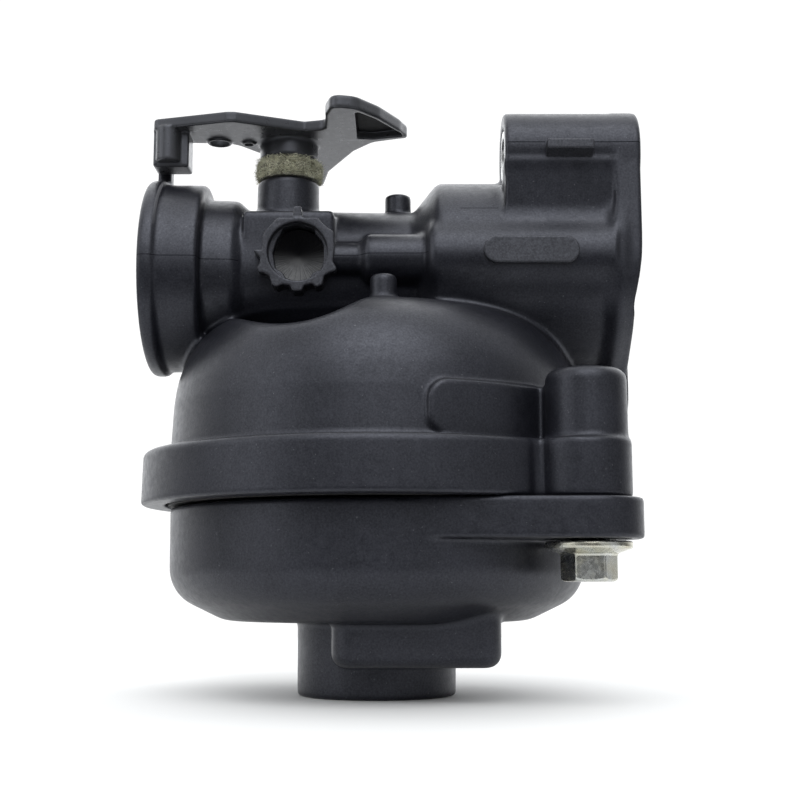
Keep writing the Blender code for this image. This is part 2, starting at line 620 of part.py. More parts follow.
def throttle_plate_screw(material):
    frame = at(SHAFT_X, 0, BORE_Z) @ ALONG_X
    profile = [(1.2 * MM, -2.9 * MM), (1.6 * MM, -2.5 * MM), (1.6 * MM, -1.8 * MM), (0.9 * MM, -1.8 * MM),
               (0.9 * MM, 2.2 * MM), (0.7 * MM, 2.5 * MM)]
    screw = add_object("throttle_plate_screw", turned(profile, frame, 20), material)
    depth = (SHAFT_X - 4 * MM, SHAFT_X - 2.4 * MM)
    slot = block(depth, (-0.25 * MM, 0.25 * MM), (BORE_Z - 3 * MM, BORE_Z + 3 * MM))
    shape_by(screw, "DIFFERENCE", [slot])
    set_origin(screw, (SHAFT_X, 0, BORE_Z))
    return screw


def felt_seal(material):
    low, high = SHAFT_BOSS_TOP_Z + GAP, FELT_TOP_Z
    section = [(SHAFT_R + 0.5 * MM, low), (5.5 * MM, low), (5.8 * MM, (low + high) / 2), (5.5 * MM, high),
               (SHAFT_R + 0.5 * MM, high)]
    return add_object("felt_seal", turned(section, at(SHAFT_X + 0.3 * MM), 32, ring=True), material)


# ---- Air and fuel pieces ----------------------------------------------------------------------


def intake_o_ring(material):
    """Round-section ring that seals the bell on the engine's intake spigot."""
    middle = BELL_BORE_R + 0.1 * MM
    section = circle(middle, -33.0 * MM, 1.05 * MM, 6)
    return add_object("intake_o_ring", turned(section, at(z=BORE_Z) @ ALONG_X, 32, ring=True), material)


def stud_sleeve(name, place, low, hole_r, material):
    high = FLANGE_FACE_X - 0.1 * MM
    section = [(hole_r, low), (SLEEVE_R, low), (SLEEVE_R, high), (hole_r, high)]
    return add_object(name, turned(section, at(0, *place) @ ALONG_X, 28, ring=True), material)


def fuel_inlet_nipple(material):
    """Barbed hose nipple on the back of the chamber."""
    profile = [
        (1.0, 31.0), (2.0, 31.0), (2.0, 37.3), (3.6, 37.3), (3.6, 38.8), (2.2, 38.8), (2.2, 43.0),
        (3.1, 45.0), (2.3, 45.0), (2.3, 46.6), (3.0, 48.6), (2.3, 48.6), (2.0, 50.2), (1.0, 50.2),
    ]
    section = [(r * MM, y * MM) for r, y in profile]
    frame = at(0, 0, INLET_Z) @ ALONG_Y
    return add_object("fuel_inlet_nipple", turned(section, frame, 16, ring=True), material)


def needle_seat(material):
    section = [(1.1 * MM, 46.2 * MM), (2.1 * MM, 46.2 * MM), (2.1 * MM, 49.2 * MM), (0.7 * MM, 49.2 * MM),
               (0.7 * MM, 47.6 * MM)]
    return add_object("needle_seat", turned(section, at(0, NEEDLE_Y), 20, ring=True), material)


def inlet_needle(material):
    profile = [(1.2 * MM, 37.4 * MM), (NEEDLE_R, 37.8 * MM), (NEEDLE_R, 44.0 * MM), (0.5 * MM, 46.2 * MM)]
    needle = add_object("inlet_needle", turned(profile, at(0, NEEDLE_Y), 16), material)
    set_origin(needle, (0, NEEDLE_Y, 40 * MM))
    return needle


def main_float(material):
    """An annular float round the nozzle leg, with two arms to the pin and a tongue under the needle."""
    body = [(10.0, 22.0), (24.5, 22.0), (25.5, 23.0), (25.5, 33.6), (24.5, 34.6), (10.0, 34.6)]
    section = [(r * MM, z * MM) for r, z in body]
    piece = add_object("main_float", turned(section, at(y=-1.2 * MM), 32, ring=True), material)
    arms = []
    for side in (-1, 1):
        low = side * 4.2 * MM - 1.0 * MM
        arms.append(block((low, low + 2.0 * MM), (14 * MM, PIN_Y), (33 * MM, 36.8 * MM)))
        eye = at(0, PIN_Y, PIN_Z) @ ALONG_X
        arms.append(rod(2.4 * MM, low, low + 2.0 * MM, eye, 20))
        arms.append(block((low, low + 2.0 * MM), (PIN_Y - 2.2 * MM, PIN_Y + 2.2 * MM), (34 * MM, PIN_Z)))
    tongue = block((-4 * MM, 4 * MM), (13.5 * MM, 19.5 * MM), (35.4 * MM, 36.9 * MM))
    shape_by(piece, "UNION", arms + [tongue])
    shape_by(piece, "DIFFERENCE", [rod(PIN_R + GAP, -8 * MM, 8 * MM, at(0, PIN_Y, PIN_Z) @ ALONG_X, 16)])
    set_origin(piece, (0, PIN_Y, PIN_Z))
    return piece


def float_hinge_pin(material):
    pin = rod(PIN_R, -8.4 * MM, 8.4 * MM, at(0, PIN_Y, PIN_Z) @ ALONG_X, 16, 0.2 * MM)
    return add_object("float_hinge_pin", pin, material)


def main_nozzle(material):
    section = [(0.7 * MM, 27.2 * MM), (NOZZLE_R, 27.2 * MM), (NOZZLE_R, 63.2 * MM), (1.4 * MM, 64.0 * MM),
               (0.7 * MM, 64.0 * MM)]
    return add_object("main_nozzle", turned(section, at(NOZZLE_X), 20, ring=True), material)


def main_jet(material):
    section = [(0.5 * MM, 21.8 * MM), (2.4 * MM, 21.8 * MM), (2.4 * MM, 25.8 * MM), (1.4 * MM, 26.6 * MM),
               (0.5 * MM, 26.6 * MM)]
    return add_object("main_jet", turned(section, at(NOZZLE_X), 20, ring=True), material)


def air_jet(name, angle, hole_r, material):
    """A pressed brass bleed in the face of the air horn."""
    section = [(hole_r, 35.0 * MM), (1.0 * MM, 35.0 * MM), (1.0 * MM, 39.4 * MM), (hole_r, 39.4 * MM)]
    return add_object(name, turned(section, air_jet_frame(angle), 16, ring=True), material)


def mixture_port_plug(material):
    """The pressed cup that seals the adjusting port."""
    x, z = PORT_CENTRE
    profile = [(4.1 * MM, PORT_FLOOR_Y - 1.3 * MM), (4.2 * MM, PORT_FLOOR_Y - 1.1 * MM),
               (4.2 * MM, PORT_FLOOR_Y - GAP), (1.0 * MM, PORT_FLOOR_Y - GAP)]
    dish = [(2.9 * MM, PORT_FLOOR_Y - 3 * MM), (2.9 * MM, PORT_FLOOR_Y - 0.9 * MM)]
    frame = at(x, 0, z) @ ALONG_Y
    plug = add_object("mixture_port_plug", turned(profile, frame, 28), material)
    shape_by(plug, "DIFFERENCE", [turned(dish, frame, 24)])
    return plug


def main():
    clear_scene()
    nylon = make_material("black_nylon", (0.022, 0.023, 0.026), 0.45)
    acetal = make_material("dark_acetal", (0.03, 0.03, 0.033), 0.4)
    rubber = make_material("black_rubber", (0.012, 0.012, 0.012), 0.7)
    zinc = make_material("zinc_plate", (0.62, 0.61, 0.56), 0.32, 1.0)
    steel = make_material("steel", (0.55, 0.55, 0.55), 0.35, 1.0)
    brass = make_material("brass", (0.72, 0.52, 0.22), 0.3, 1.0)
    felt = make_material("cream_felt", (0.62, 0.58, 0.46), 1.0)

    carburetor_body(nylon)
    float_bowl(nylon)
    bowl_gasket(rubber)
    for name, place in BOLT_PLACES.items():
        bowl_bolt(f"bowl_bolt_{name}", place, zinc)
    throttle_lever(acetal)
    throttle_shaft(steel)
    throttle_plate(brass)
    throttle_plate_screw(steel)
    felt_seal(felt)
    intake_o_ring(rubber)
    stud_sleeve("stud_sleeve", STUDS["upper"], STUD_BOSS_X + 0.1 * MM, SLEEVE_HOLE_R, steel)
    stud_sleeve("threaded_insert", STUDS["lower"], 31.8 * MM, 2.5 * MM, brass)
    fuel_inlet_nipple(brass)
    needle_seat(rubber)
    inlet_needle(steel)
    main_float(acetal)
    float_hinge_pin(steel)
    main_nozzle(brass)
    main_jet(brass)
    air_jet("main_air_jet", AIR_JET_ANGLES["main"], 0.5 * MM, brass)
    air_jet("idle_air_jet", AIR_JET_ANGLES["idle"], 0.3 * MM, brass)
    mixture_port_plug(acetal)


main()
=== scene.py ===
"""Looks of a small-engine carburetor: fine meshes, turned metal, felt, materials, light and camera.

The moulded pieces are held as signed distances on a grid, so that every union gets a true fillet and
every cut a rounded edge, and then skinned. Lengths in the mould and turning sections are millimetres
in the row frame; Blender's own objects are in metres.
"""

import math

import bmesh
import bpy
import numpy as np
from mathutils import Matrix, Vector, noise


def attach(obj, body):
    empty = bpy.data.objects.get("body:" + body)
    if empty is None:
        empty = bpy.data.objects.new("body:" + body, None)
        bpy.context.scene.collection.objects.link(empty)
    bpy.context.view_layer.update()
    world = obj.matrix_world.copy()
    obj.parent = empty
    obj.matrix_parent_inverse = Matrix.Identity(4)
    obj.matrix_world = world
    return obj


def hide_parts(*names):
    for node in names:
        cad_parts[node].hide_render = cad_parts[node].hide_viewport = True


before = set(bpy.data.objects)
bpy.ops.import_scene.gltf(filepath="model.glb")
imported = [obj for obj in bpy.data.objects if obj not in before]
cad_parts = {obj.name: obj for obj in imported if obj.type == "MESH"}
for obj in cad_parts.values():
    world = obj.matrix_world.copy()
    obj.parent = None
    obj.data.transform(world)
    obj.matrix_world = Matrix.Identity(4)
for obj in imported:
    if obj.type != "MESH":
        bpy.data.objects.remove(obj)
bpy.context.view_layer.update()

MM = 0.001
FAR = 9.0
PAD = 2.6
X, Y, Z = 0, 1, 2

# ---- Driving dimensions, in mm ----

BORE = (0.0, 68.5)
SHAFT = (-15.2, 0.0)
PORT = (-12.5, 69.8)
TUBE = (-11.0, 69.2)
UPPER_STUD = (-8.5, 87.0)
LOWER_STUD = (8.5, 50.0)
BOLTS = ((31.0, -26.0), (-29.6, 27.2))
RIM_R = 38.17
BOWL_R = 33.5
RIM_LOW = 30.0
POST_R = 5.95
FLANGE_FACE = 42.0
NOZZLE_X = 1.0
PIN = (24.5, 40.5)
INLET_Z = 50.5
NEEDLE_Y = 17.0
JET_RING = 14
JET_ANGLES = (28, 152)
LEVER_LOW = 92.0
LEVER_HIGH = 93.8
LINK_HOLES = ((-26.8, -1.9, 1.6, 0.5), (-21.9, -1.4, 0.7, 0.5), (-13.3, 20.6, 1.4, 0.8))

# Glows of the light tent: direction, where it starts and is full (as cosines from there), and strength.
WORLD_GLOWS = (
    ((0, 0, 1), -1.0, -0.99, 0.06),
    ((0, 0, 1), -0.05, 0.15, 0.15),
    ((0, 0.9, 1), 0.15, 0.95, 1.7),
    ((0.05, -1, 1.0), 0.829, 0.885, 2.4),
    ((0.05, -1, 1.3), 0.93, 0.97, 1.2),
    ((1, -1, 0.3), 0.80, 0.97, 0.4),
    ((0, 1, -0.1), 0.0, 0.9, 0.45),
    ((-1, -0.3, 0.1), 0.1, 0.9, 0.20),
    ((-1, -0.5, 0.45), 0.90, 0.97, 1.6),
)


# ---- Outlines ----


def arc(x, y, radius, start, end, count):
    """Points on an arc, from start to end in degrees."""
    turns = np.radians(np.linspace(start, end, count))
    return [(x + radius * math.cos(t), y + radius * math.sin(t)) for t in turns]


def rounded(corners, steps=6):
    """A polygon with its corners rounded. Each corner is (x, y, radius)."""
    outline = []
    for i, (x, y, radius) in enumerate(corners):
        here = Vector((x, y))
        if radius == 0:
            outline.append((x, y))
            continue
        before = (Vector(corners[i - 1][:2]) - here).normalized()
        after = (Vector(corners[(i + 1) % len(corners)][:2]) - here).normalized()
        half = before.angle(after) / 2
        reach = radius / math.tan(half)
        centre = here + (before + after).normalized() * radius / math.sin(half)
        first = here + before * reach - centre
        sweep = first.angle_signed(here + after * reach - centre)
        for k in range(steps + 1):
            outline.append(tuple(centre + Matrix.Rotation(-sweep * k / steps, 2) @ first))
    return outline


def through(points, steps=4):
    """A smooth open curve through some points (Catmull-Rom)."""
    ends = [points[0], *points, points[-1]]
    curve = []
    for p0, p1, p2, p3 in zip(ends, ends[1:], ends[2:], ends[3:]):
        p0, p1, p2, p3 = (np.array(p, float) for p in (p0, p1, p2, p3))
        for t in np.arange(steps) / steps:
            bend = (2 * p0 - 5 * p1 + 4 * p2 - p3) * t * t + (3 * p1 - p0 - 3 * p2 + p3) * t**3
            curve.append(tuple((2 * p1 + (p2 - p0) * t + bend) / 2))
    return curve + [tuple(points[-1])]


def belt(circles, count=48):
    """The outline of a belt drawn tight round some circles, each (x, y, radius)."""
    points = []
    for x, y, radius in circles:
        points += arc(x, y, radius, 0, 360, count)[:-1]
    points = sorted(points)
    sides = []
    for ordered in (points, points[::-1]):
        side = []
        for p in ordered:
            while len(side) > 1 and turn(side[-2], side[-1], p) <= 0:
                side.pop()
            side.append(p)
        sides += side[:-1]
    return sides


def turn(a, b, c):
    return (b[0] - a[0]) * (c[1] - a[1]) - (b[1] - a[1]) * (c[0] - a[0])


def outline_distance(points, u, v):
    """Signed distance in the plane to a closed outline, negative inside."""
    u, v = np.broadcast_arrays(np.asarray(u, np.float32), np.asarray(v, np.float32))
    nearest = np.full(u.shape, 1e6, np.float32)
    inside = np.zeros(u.shape, bool)
    for (ax, ay), (bx, by) in zip(points, points[1:] + points[:1]):
        ex, ey = bx - ax, by - ay
        if ex == ey == 0:
            continue
        share = np.clip(((u - ax) * ex + (v - ay) * ey) / (ex * ex + ey * ey), 0, 1)
        nearest = np.minimum(nearest, (u - ax - ex * share) ** 2 + (v - ay - ey * share) ** 2)
        if ay != by:
            inside ^= ((ay > v) != (by > v)) & (u < ex * (v - ay) / ey + ax)
    return np.where(inside, -1, 1).astype(np.float32) * np.sqrt(nearest)


# ---- Shapes: each gives its lowest corner, its highest corner and a signed distance ----


def meet(a, b, edge):
    """Inside both, with a rounded edge between them."""
    if not edge:
        return np.maximum(a, b)
    near = np.hypot(np.maximum(a + edge, 0), np.maximum(b + edge, 0))
    return np.minimum(-edge, np.maximum(a, b)) + near


def join(a, b, fillet):
    """Inside either, with a round fillet between them."""
    return -meet(-a, -b, fillet)


def across(axis):
    return [i for i in (X, Y, Z) if i != axis]


def corners(axis, low, high, reach):
    """A shape's box, from its span along an axis and the lowest and highest of its outline across it."""
    first, last = [0.0] * 3, [0.0] * 3
    first[axis], last[axis] = low, high
    for i, (a, b) in zip(across(axis), reach):
        first[i], last[i] = a, b
    return first, last


def rod(axis, centre, radius, low, high, edge=0.3):
    """A round bar along an axis. Its centre is given across the axis."""
    i, j = across(axis)

    def distance(p):
        side = np.hypot(p[i] - centre[0], p[j] - centre[1]) - radius
        return meet(side, np.maximum(low - p[axis], p[axis] - high), edge)

    reach = [(c - radius, c + radius) for c in centre]
    return *corners(axis, low, high, reach), distance


def turned(axis, centre, profile):
    """A solid of revolution: profile is (radius, place along the axis), closed on the axis itself."""
    i, j = across(axis)
    widest = max(r for r, _ in profile)
    low, high = profile[0][1], profile[-1][1]
    closed = [(-4.0, low), *profile, (-4.0, high)]

    def distance(p):
        radii = np.arange(0, widest + 3 * PAD + 3, 0.06, dtype=np.float32)
        table = outline_distance(closed, radii[:, None], p[axis].ravel()[None, :])
        radius = np.hypot(p[i] - centre[0], p[j] - centre[1])
        flat = np.squeeze(radius, axis)
        slices = [np.interp(flat, radii, table[:, n]) for n in range(table.shape[1])]
        return np.stack(slices, axis).astype(np.float32)

    reach = [(c - widest, c + widest) for c in centre]
    spans = [along for _, along in profile]
    return *corners(axis, min(spans), max(spans), reach), distance


def band(axis, centre, inner, outer, low, high, edge=0.2):
    """A flat ring round an axis, of rectangular section."""
    i, j = across(axis)

    def distance(p):
        radius = np.hypot(p[i] - centre[0], p[j] - centre[1])
        side = np.abs(radius - (inner + outer) / 2) - (outer - inner) / 2
        return meet(side, np.maximum(low - p[axis], p[axis] - high), edge)

    reach = [(c - outer, c + outer) for c in centre]
    return *corners(axis, low, high, reach), distance


def ring(axis, centre, radius, place, section_r):
    """A torus round an axis."""
    i, j = across(axis)

    def distance(p):
        return np.hypot(np.hypot(p[i] - centre[0], p[j] - centre[1]) - radius, p[axis] - place) - section_r

    reach = [(c - radius - section_r, c + radius + section_r) for c in centre]
    return *corners(axis, place - section_r, place + section_r, reach), distance


def prism(axis, outline, low, high, edge=0.3):
    """An outline, drawn in the two other axes, run straight along this one."""
    i, j = across(axis)

    def distance(p):
        return meet(outline_distance(outline, p[i], p[j]), np.maximum(low - p[axis], p[axis] - high), edge)

    reach = [(min(values), max(values)) for values in zip(*outline)]
    return *corners(axis, low, high, reach), distance


def block(low, high, edge=0.3):
    """A box with every edge rounded."""

    def distance(p):
        gaps = [np.maximum(a - q, q - b) + edge for q, a, b in zip(p, low, high)]
        outside = np.sqrt(sum(np.maximum(g, 0) ** 2 for g in gaps))
        return outside + np.minimum(np.maximum(np.maximum(gaps[0], gaps[1]), gaps[2]), 0) - edge

    return low, high, distance


# ---- The mould ----


class Mould:
    """A solid held as signed distances on a regular grid, below zero inside."""

    def __init__(self, low, high, step):
        self.step = step * 1.0
        self.low = np.array(low, float)
        self.axes = [np.arange(a, b + self.step, self.step, dtype=np.float32) for a, b in zip(low, high)]
        self.field = np.full([len(a) for a in self.axes], FAR, np.float32)

    def window(self, low, high):
        """The grid between two corners with some room round them: its slices, and the points' X, Y and Z."""
        spans, points = [], []
        for i, (values, a, b) in enumerate(zip(self.axes, low, high)):
            first, last = np.searchsorted(values, (a - PAD, b + PAD))
            spans.append(slice(first, last))
            shape = [1, 1, 1]
            shape[i] = last - first
            points.append(values[first:last].reshape(shape))
        return tuple(spans), points

    def add(self, *shapes, fillet=0.4):
        for low, high, distance in shapes:
            spans, points = self.window(low, high)
            self.field[spans] = join(self.field[spans], distance(points), fillet)

    def cut(self, *shapes, edge=0.3):
        for low, high, distance in shapes:
            spans, points = self.window(low, high)
            self.field[spans] = meet(self.field[spans], -distance(points), edge)

    def bead(self, a, b, radius):
        """A fine round bead along the line where two shapes' surfaces cross."""
        low = [max(p, q) for p, q in zip(a[0], b[0])]
        high = [min(p, q) for p, q in zip(a[1], b[1])]
        spans, points = self.window(low, high)
        line = np.hypot(a[2](points), b[2](points)) - radius
        self.field[spans] = join(self.field[spans], line, 2 * radius)

    def soften(self):
        """One pass of a small blur, which rounds every edge by about half a step."""
        for axis in (X, Y, Z):
            f = np.moveaxis(self.field, axis, 0)
            f[1:-1] = 0.25 * f[:-2] + 0.5 * f[1:-1] + 0.25 * f[2:]

    def sample(self, points):
        """The field at any points, read between the grid's own."""
        place = np.clip((points - self.low) / self.step, 0, np.array(self.field.shape) - 1.001)
        cell = place.astype(np.int32)
        part = (place - cell).astype(np.float32)
        total = np.zeros(len(points), np.float32)
        for corner in np.ndindex(2, 2, 2):
            weight = np.prod(np.where(corner, part, 1 - part), axis=1)
            total += weight * self.field[tuple((cell + corner).T)]
        return total

    def slope(self, points):
        """The field's gradient, which points straight out of the surface."""
        reach = np.eye(3) * self.step * 0.6
        slope = np.stack([self.sample(points + d) - self.sample(points - d) for d in reach], axis=1)
        return slope / np.maximum(np.linalg.norm(slope, axis=1, keepdims=True), 1e-6)

    def skin(self):
        """The surface as points and four-cornered faces, one point in each grid cell that it crosses."""
        inside = self.field < 0
        shape = [n - 1 for n in inside.shape]
        held = np.zeros(shape, np.uint8)
        for i, j, k in np.ndindex(2, 2, 2):
            held += inside[i : i + shape[0], j : j + shape[1], k : k + shape[2]]
        cells = np.argwhere((held > 0) & (held < 8))
        total = np.zeros((len(cells), 3))
        crossings = np.zeros((len(cells), 1))
        for corner in np.ndindex(2, 2, 2):
            for axis in (X, Y, Z):
                if corner[axis]:
                    continue
                other = np.array(corner) + np.eye(3, dtype=int)[axis]
                a = self.field[tuple((cells + corner).T)]
                b = self.field[tuple((cells + other).T)]
                crosses = (a < 0) != (b < 0)
                share = np.where(crosses, a / np.where(crosses, a - b, 1), 0)
                where = np.array(corner) + share[:, None] * np.eye(3)[axis]
                total += np.where(crosses[:, None], where, 0)
                crossings[:, 0] += crosses
        points = self.low + (cells + total / crossings) * self.step
        number = np.full(shape, -1, np.int32)
        number[tuple(cells.T)] = np.arange(len(cells))
        faces = []
        for axis in (X, Y, Z):
            i, j = (axis + 1) % 3, (axis + 2) % 3
            near = np.moveaxis(inside, axis, 0)
            edges = np.argwhere(np.moveaxis(near[:-1] != near[1:], 0, axis))
            edges = edges[(edges[:, i] > 0) & (edges[:, j] > 0)]
            edges = edges[(edges[:, i] < shape[i]) & (edges[:, j] < shape[j])]
            step_i, step_j = np.eye(3, dtype=int)[i], np.eye(3, dtype=int)[j]
            around = [edges - step_i - step_j, edges - step_j, edges, edges - step_i]
            quads = np.stack([number[tuple(c.T)] for c in around], axis=1)
            outward = inside[tuple(edges.T)]
            quads[~outward] = quads[~outward][:, ::-1]
            faces.append(quads)
        return points, np.concatenate(faces)

    def to_object(self, name, most_triangles):
        """Skins the solid, thins the mesh where it is flat, and shades it by the field's own slope."""
        self.soften()
        points, faces = self.skin()
        for _ in range(2):
            move = np.clip(self.sample(points), -self.step / 2, self.step / 2)
            points -= move[:, None] * self.slope(points)
        mesh = bpy.data.meshes.new(name)
        mesh.from_pydata((points * MM).tolist(), [], faces.tolist())
        obj = bpy.data.objects.new(name, mesh)
        bpy.context.scene.collection.objects.link(obj)
        if 2 * len(faces) > most_triangles:
            thin = obj.modifiers.new("thin", "DECIMATE")
            thin.ratio = most_triangles / (2 * len(faces))
            apply_modifiers(obj)
        mesh = obj.data
        mesh.shade_smooth()
        flat = np.empty(len(mesh.vertices) * 3, np.float32)
        mesh.vertices.foreach_get("co", flat)
        normals = self.slope(flat.reshape(-1, 3).astype(float) / MM)
        mesh.normals_split_custom_set_from_vertices(normals.tolist())
        return obj


def apply_modifiers(obj):
    graph = bpy.context.evaluated_depsgraph_get()
    mesh = bpy.data.meshes.new_from_object(obj.evaluated_get(graph), depsgraph=graph)
    obj.modifiers.clear()
    obj.data = mesh


# ---- Body moulding ----


def dome():
    rim = rounded([
        (-4, RIM_LOW, 0), (RIM_R, RIM_LOW, 0.15), (RIM_R - 0.2, 38.4, 0.9), (33.7, 38.4, 0.7), (33.3, 46, 0)
    ])
    shoulder = through(
        [(33.3, 46.0), (32.8, 49.4), (31.9, 52.3), (30.4, 55.2), (28.2, 57.7), (25.2, 59.6), (21.2, 60.9),
         (16.5, 61.6), (6.0, 62.0), (-4.0, 62.0)]
    )
    return turned(Z, (0, 0), rim[:-1] + shoulder)


def barrel():
    """Bell, neck, throat and air horn in one turning along the bore."""
    profile = rounded(
        [(-4, -37.7, 0), (16.4, -37.7, 0.9), (16.4, -35.3, 0.35), (15.7, -34.9, 0.3), (15.6, -28.3, 0.6),
         (13.2, -28.1, 0.4), (13.0, -23.2, 0.7), (11.4, -21.4, 0.5), (11.0, 6.0, 1.6), (15.9, 9.9, 2.0),
         (15.9, 38.5, 0), (-4, 38.5, 0)]
    )
    return turned(X, BORE, profile)


def shaft_block():
    half = 11.4
    lower = arc(0, BORE[1], half, 180, 360, 40)
    top = rounded([(half, 77.4, 1.0), (-half, 77.4, 1.0), (-half, BORE[1], 0)])
    return prism(X, lower[1:] + top, -21.6, -6.9, 0.5)


def shaft_boss():
    return turned(Z, SHAFT, rounded([(-4, 68, 0), (5.4, 68, 0), (5.2, 85.1, 0.6), (-4, 85.1, 0)]))


def label_pad():
    """A plain raised pad on the dome wall, following its curve, its corners well rounded."""
    wall_r, thick, corner = 32.9, 1.6, 3
    middle, half = math.radians(-59), math.radians(18)

    def distance(p):
        along = (np.abs(np.arctan2(p[Y], p[X]) - middle) - half) * wall_r
        up = np.abs(p[Z] - 42.5) - 4.1
        face = np.hypot(np.maximum(along + corner, 0), np.maximum(up + corner, 0)) - corner
        return meet(face, np.abs(np.hypot(p[X], p[Y]) - wall_r) - thick, 0.4)

    return (4, -35.2, 37.6), (27, -18, 47.4), distance


def port_outline():
    """Round the port, from its middle: angular above, index lobes below and a pointer at nine o'clock."""
    lobes = [
        (-3.1, 5.5, 0.3), (-3.9, 4.7, 0.3), (-5.1, 3.4, 0.3), (-5.6, 2.4, 0.3), (-5.6, 0.3, 0.1),
        (-7.1, 0.25, 0.1), (-5.9, -1.0, 0.3), (-6.0, -2.1, 0.3), (-6.4, -2.8, 0.4), (-6.1, -3.4, 0.4),
        (-5.2, -3.5, 0.4), (-4.4, -3.9, 0.4), (-4.0, -5.4, 0.4), (-3.2, -5.9, 0.5), (-2.3, -5.4, 0.4),
        (-1.0, -5.6, 0.4),
        (-0.8, -6.5, 0.4), (0.8, -6.5, 0.4), (1.1, -5.6, 0.4), (2.4, -5.3, 0.4), (3.1, -5.9, 0.4),
        (4.0, -5.5, 0.4), (4.3, -4.0, 0.4), (5.2, -3.5, 0.4), (6.0, -3.3, 0.3), (6.3, -2.8, 0.3),
        (5.7, -1.8, 0.4), (5.9, 0.5, 0.4), (5.7, 3.2, 0.4), (4.8, 3.8, 0.3), (3.9, 4.6, 0.3), (3.2, 5.5, 0.3),
    ]
    return [(PORT[0] + x, PORT[1] + z) for x, z in rounded(lobes, 3)]


def port_step():
    """The ledge inside the port: open above, flat on its right, with two keys below."""
    reach = {126: 4.35, 150: 3.95, 180: 4.0, 215: 4.3, 234: 4.0, 246: 4.5, 270: 4.55, 294: 4.5, 306: 4.0,
             325: 4.6, 345: 4.25, 360: 4.1, 375: 4.25, 390: 4.3, 410: 4.2, 416: 4.7, 450: 4.75, 480: 4.7}
    return [(PORT[0] + r * math.cos(math.radians(a)), PORT[1] + r * math.sin(math.radians(a)))
            for a, r in reach.items()]


def make_port_ring():
    """The indexed ring, held on a fine grid of its own."""
    x, z = PORT
    collar = Mould((x - 8.0, -15.0, z - 7.4), (x + 7.2, -8.6, 78.2), 0.14)
    rib = prism(Y, [(x - 0.85, z + 5), (x + 0.95, z + 5), (x + 0.5, 77.2), (x - 0.6, 77.2)], -14.1, -9, 0.2)
    collar.add(prism(Y, port_outline(), -14.2, -9, 0.16), rib, fillet=0.2)
    collar.cut(rod(Y, PORT, 4.75, -16, -12.9, 0.1), edge=0.15)
    collar.cut(prism(Y, port_step(), -16, -9.7, 0.1), edge=0.15)
    return collar


def make_oblong_pad():
    pad = Mould((15.8, -18.3, 65.9), (32.8, -13.9, 72.7), 0.14)
    pad.add(oblong_pad())
    return pad


def make_boss_tab():
    """The shelf on the upper stud boss, undercut so that it throws a shadow."""
    tab = Mould((26.0, -18.2, 83.8), (35.4, -13.2, 88.2), 0.12)
    section = [(-17.4, 85.7), (-17.4, 87.2), (-14, 87.2), (-14, 84.6), (-15.2, 84.8)]
    tab.add(prism(X, section, 27.0, 34.4, 0.14))
    return tab


def passage_tube():
    profile = rounded(
        [(-4, -9, 0), (2.6, -9, 0), (2.6, -2.7, 0.6), (4.0, -1.4, 0.8), (4.0, 7.7, 0.5), (6.05, 8.6, 1.6),
         (6.05, 37.5, 0), (-4, 37.5, 0)]
    )
    return turned(X, TUBE, profile)


def oblong_pad():
    ends = [(19.0, TUBE[1] + 0.1, 2.2), (29.6, TUBE[1] + 0.1, 2.2)]
    return prism(Y, belt(ends), -17.5, -12, 0.18)


def flange_plate():
    places = [(*UPPER_STUD, 6.9), (*BORE, 15.9), (*LOWER_STUD, 6.9)]
    return prism(X, belt(places), 37.8, FLANGE_FACE, 0.5)


def flange_web():
    section = [(-2, 73.4), (-2.0, 84), (-15.25, 84.6), (-13.8, 73.4)]
    return prism(X, section, 20.5, 38.5, 0.3)


def flange_hollow():
    """Takes the front of the flange back a little below the bore's centre."""
    return prism(Y, [(44, 72), (42.6, 72), (40.9, 62.5), (41.0, 44), (44, 44)], -20, 0.5, 0.5)


def stud_bosses():
    starts = (UPPER_STUD, 20.5), (LOWER_STUD, 30.0)
    return [rod(X, stud, 7.0, start, FLANGE_FACE, 0.5) for stud, start in starts]


def bolt_post(x, y):
    profile = rounded([(-4, RIM_LOW, 0), (POST_R + 0.15, RIM_LOW, 0.1), (POST_R, 48.8, 1.7), (-4, 48.8, 0)])
    return turned(Z, (x, y), profile)


def post_web(x, y):
    """A thick rib from the dome's middle line out to a bolt post."""
    turned_to_post = Matrix.Rotation(math.atan2(y, x), 2)
    section = (29, -3), (38, -3), (38, 3), (29, 3)
    return prism(Z, [tuple(turned_to_post @ Vector(corner)) for corner in section], 30.2, 46.4, 0.5)


def post_foot(x, y):
    """The wider foot of a bolt post, set a little inwards."""
    return rod(Z, (x * 0.978, y), POST_R + 1.15, RIM_LOW, 38.3, 0.1)


def chamber():
    profile = [(29.6, 28.9), (30.2, 41.0), (30.0, 47.0), (28.6, 50.0), (25.0, 52.4), (20.0, 53.5)]
    return turned(Z, (0, 0), profile)


def chamber_fittings():
    """What hangs inside the chamber: nozzle leg, seat boss, fuel gallery and the float pin's lugs."""
    lugs = [block((s * 7 - 1.2, PIN[0] - 2.6, 38.2), (s * 7 + 1.2, PIN[0] + 2.6, 53.0), 0.4) for s in (-1, 1)]
    leg = rod(Z, (NOZZLE_X, 0), 5.0, 21.5, 55.5, 0.4)
    seat = rod(Z, (0, NEEDLE_Y), 4.0, 46.0, 54.5, 0.4)
    gallery = rod(Y, (0, INLET_Z), 4.2, 13.5, 33.5, 0.4)
    return [leg, seat, gallery, *lugs]


def jet_place(angle):
    """Where an air jet lies in the horn's mouth, below the bore."""
    return JET_RING * math.cos(math.radians(angle)), BORE[1] - JET_RING * math.sin(math.radians(angle))


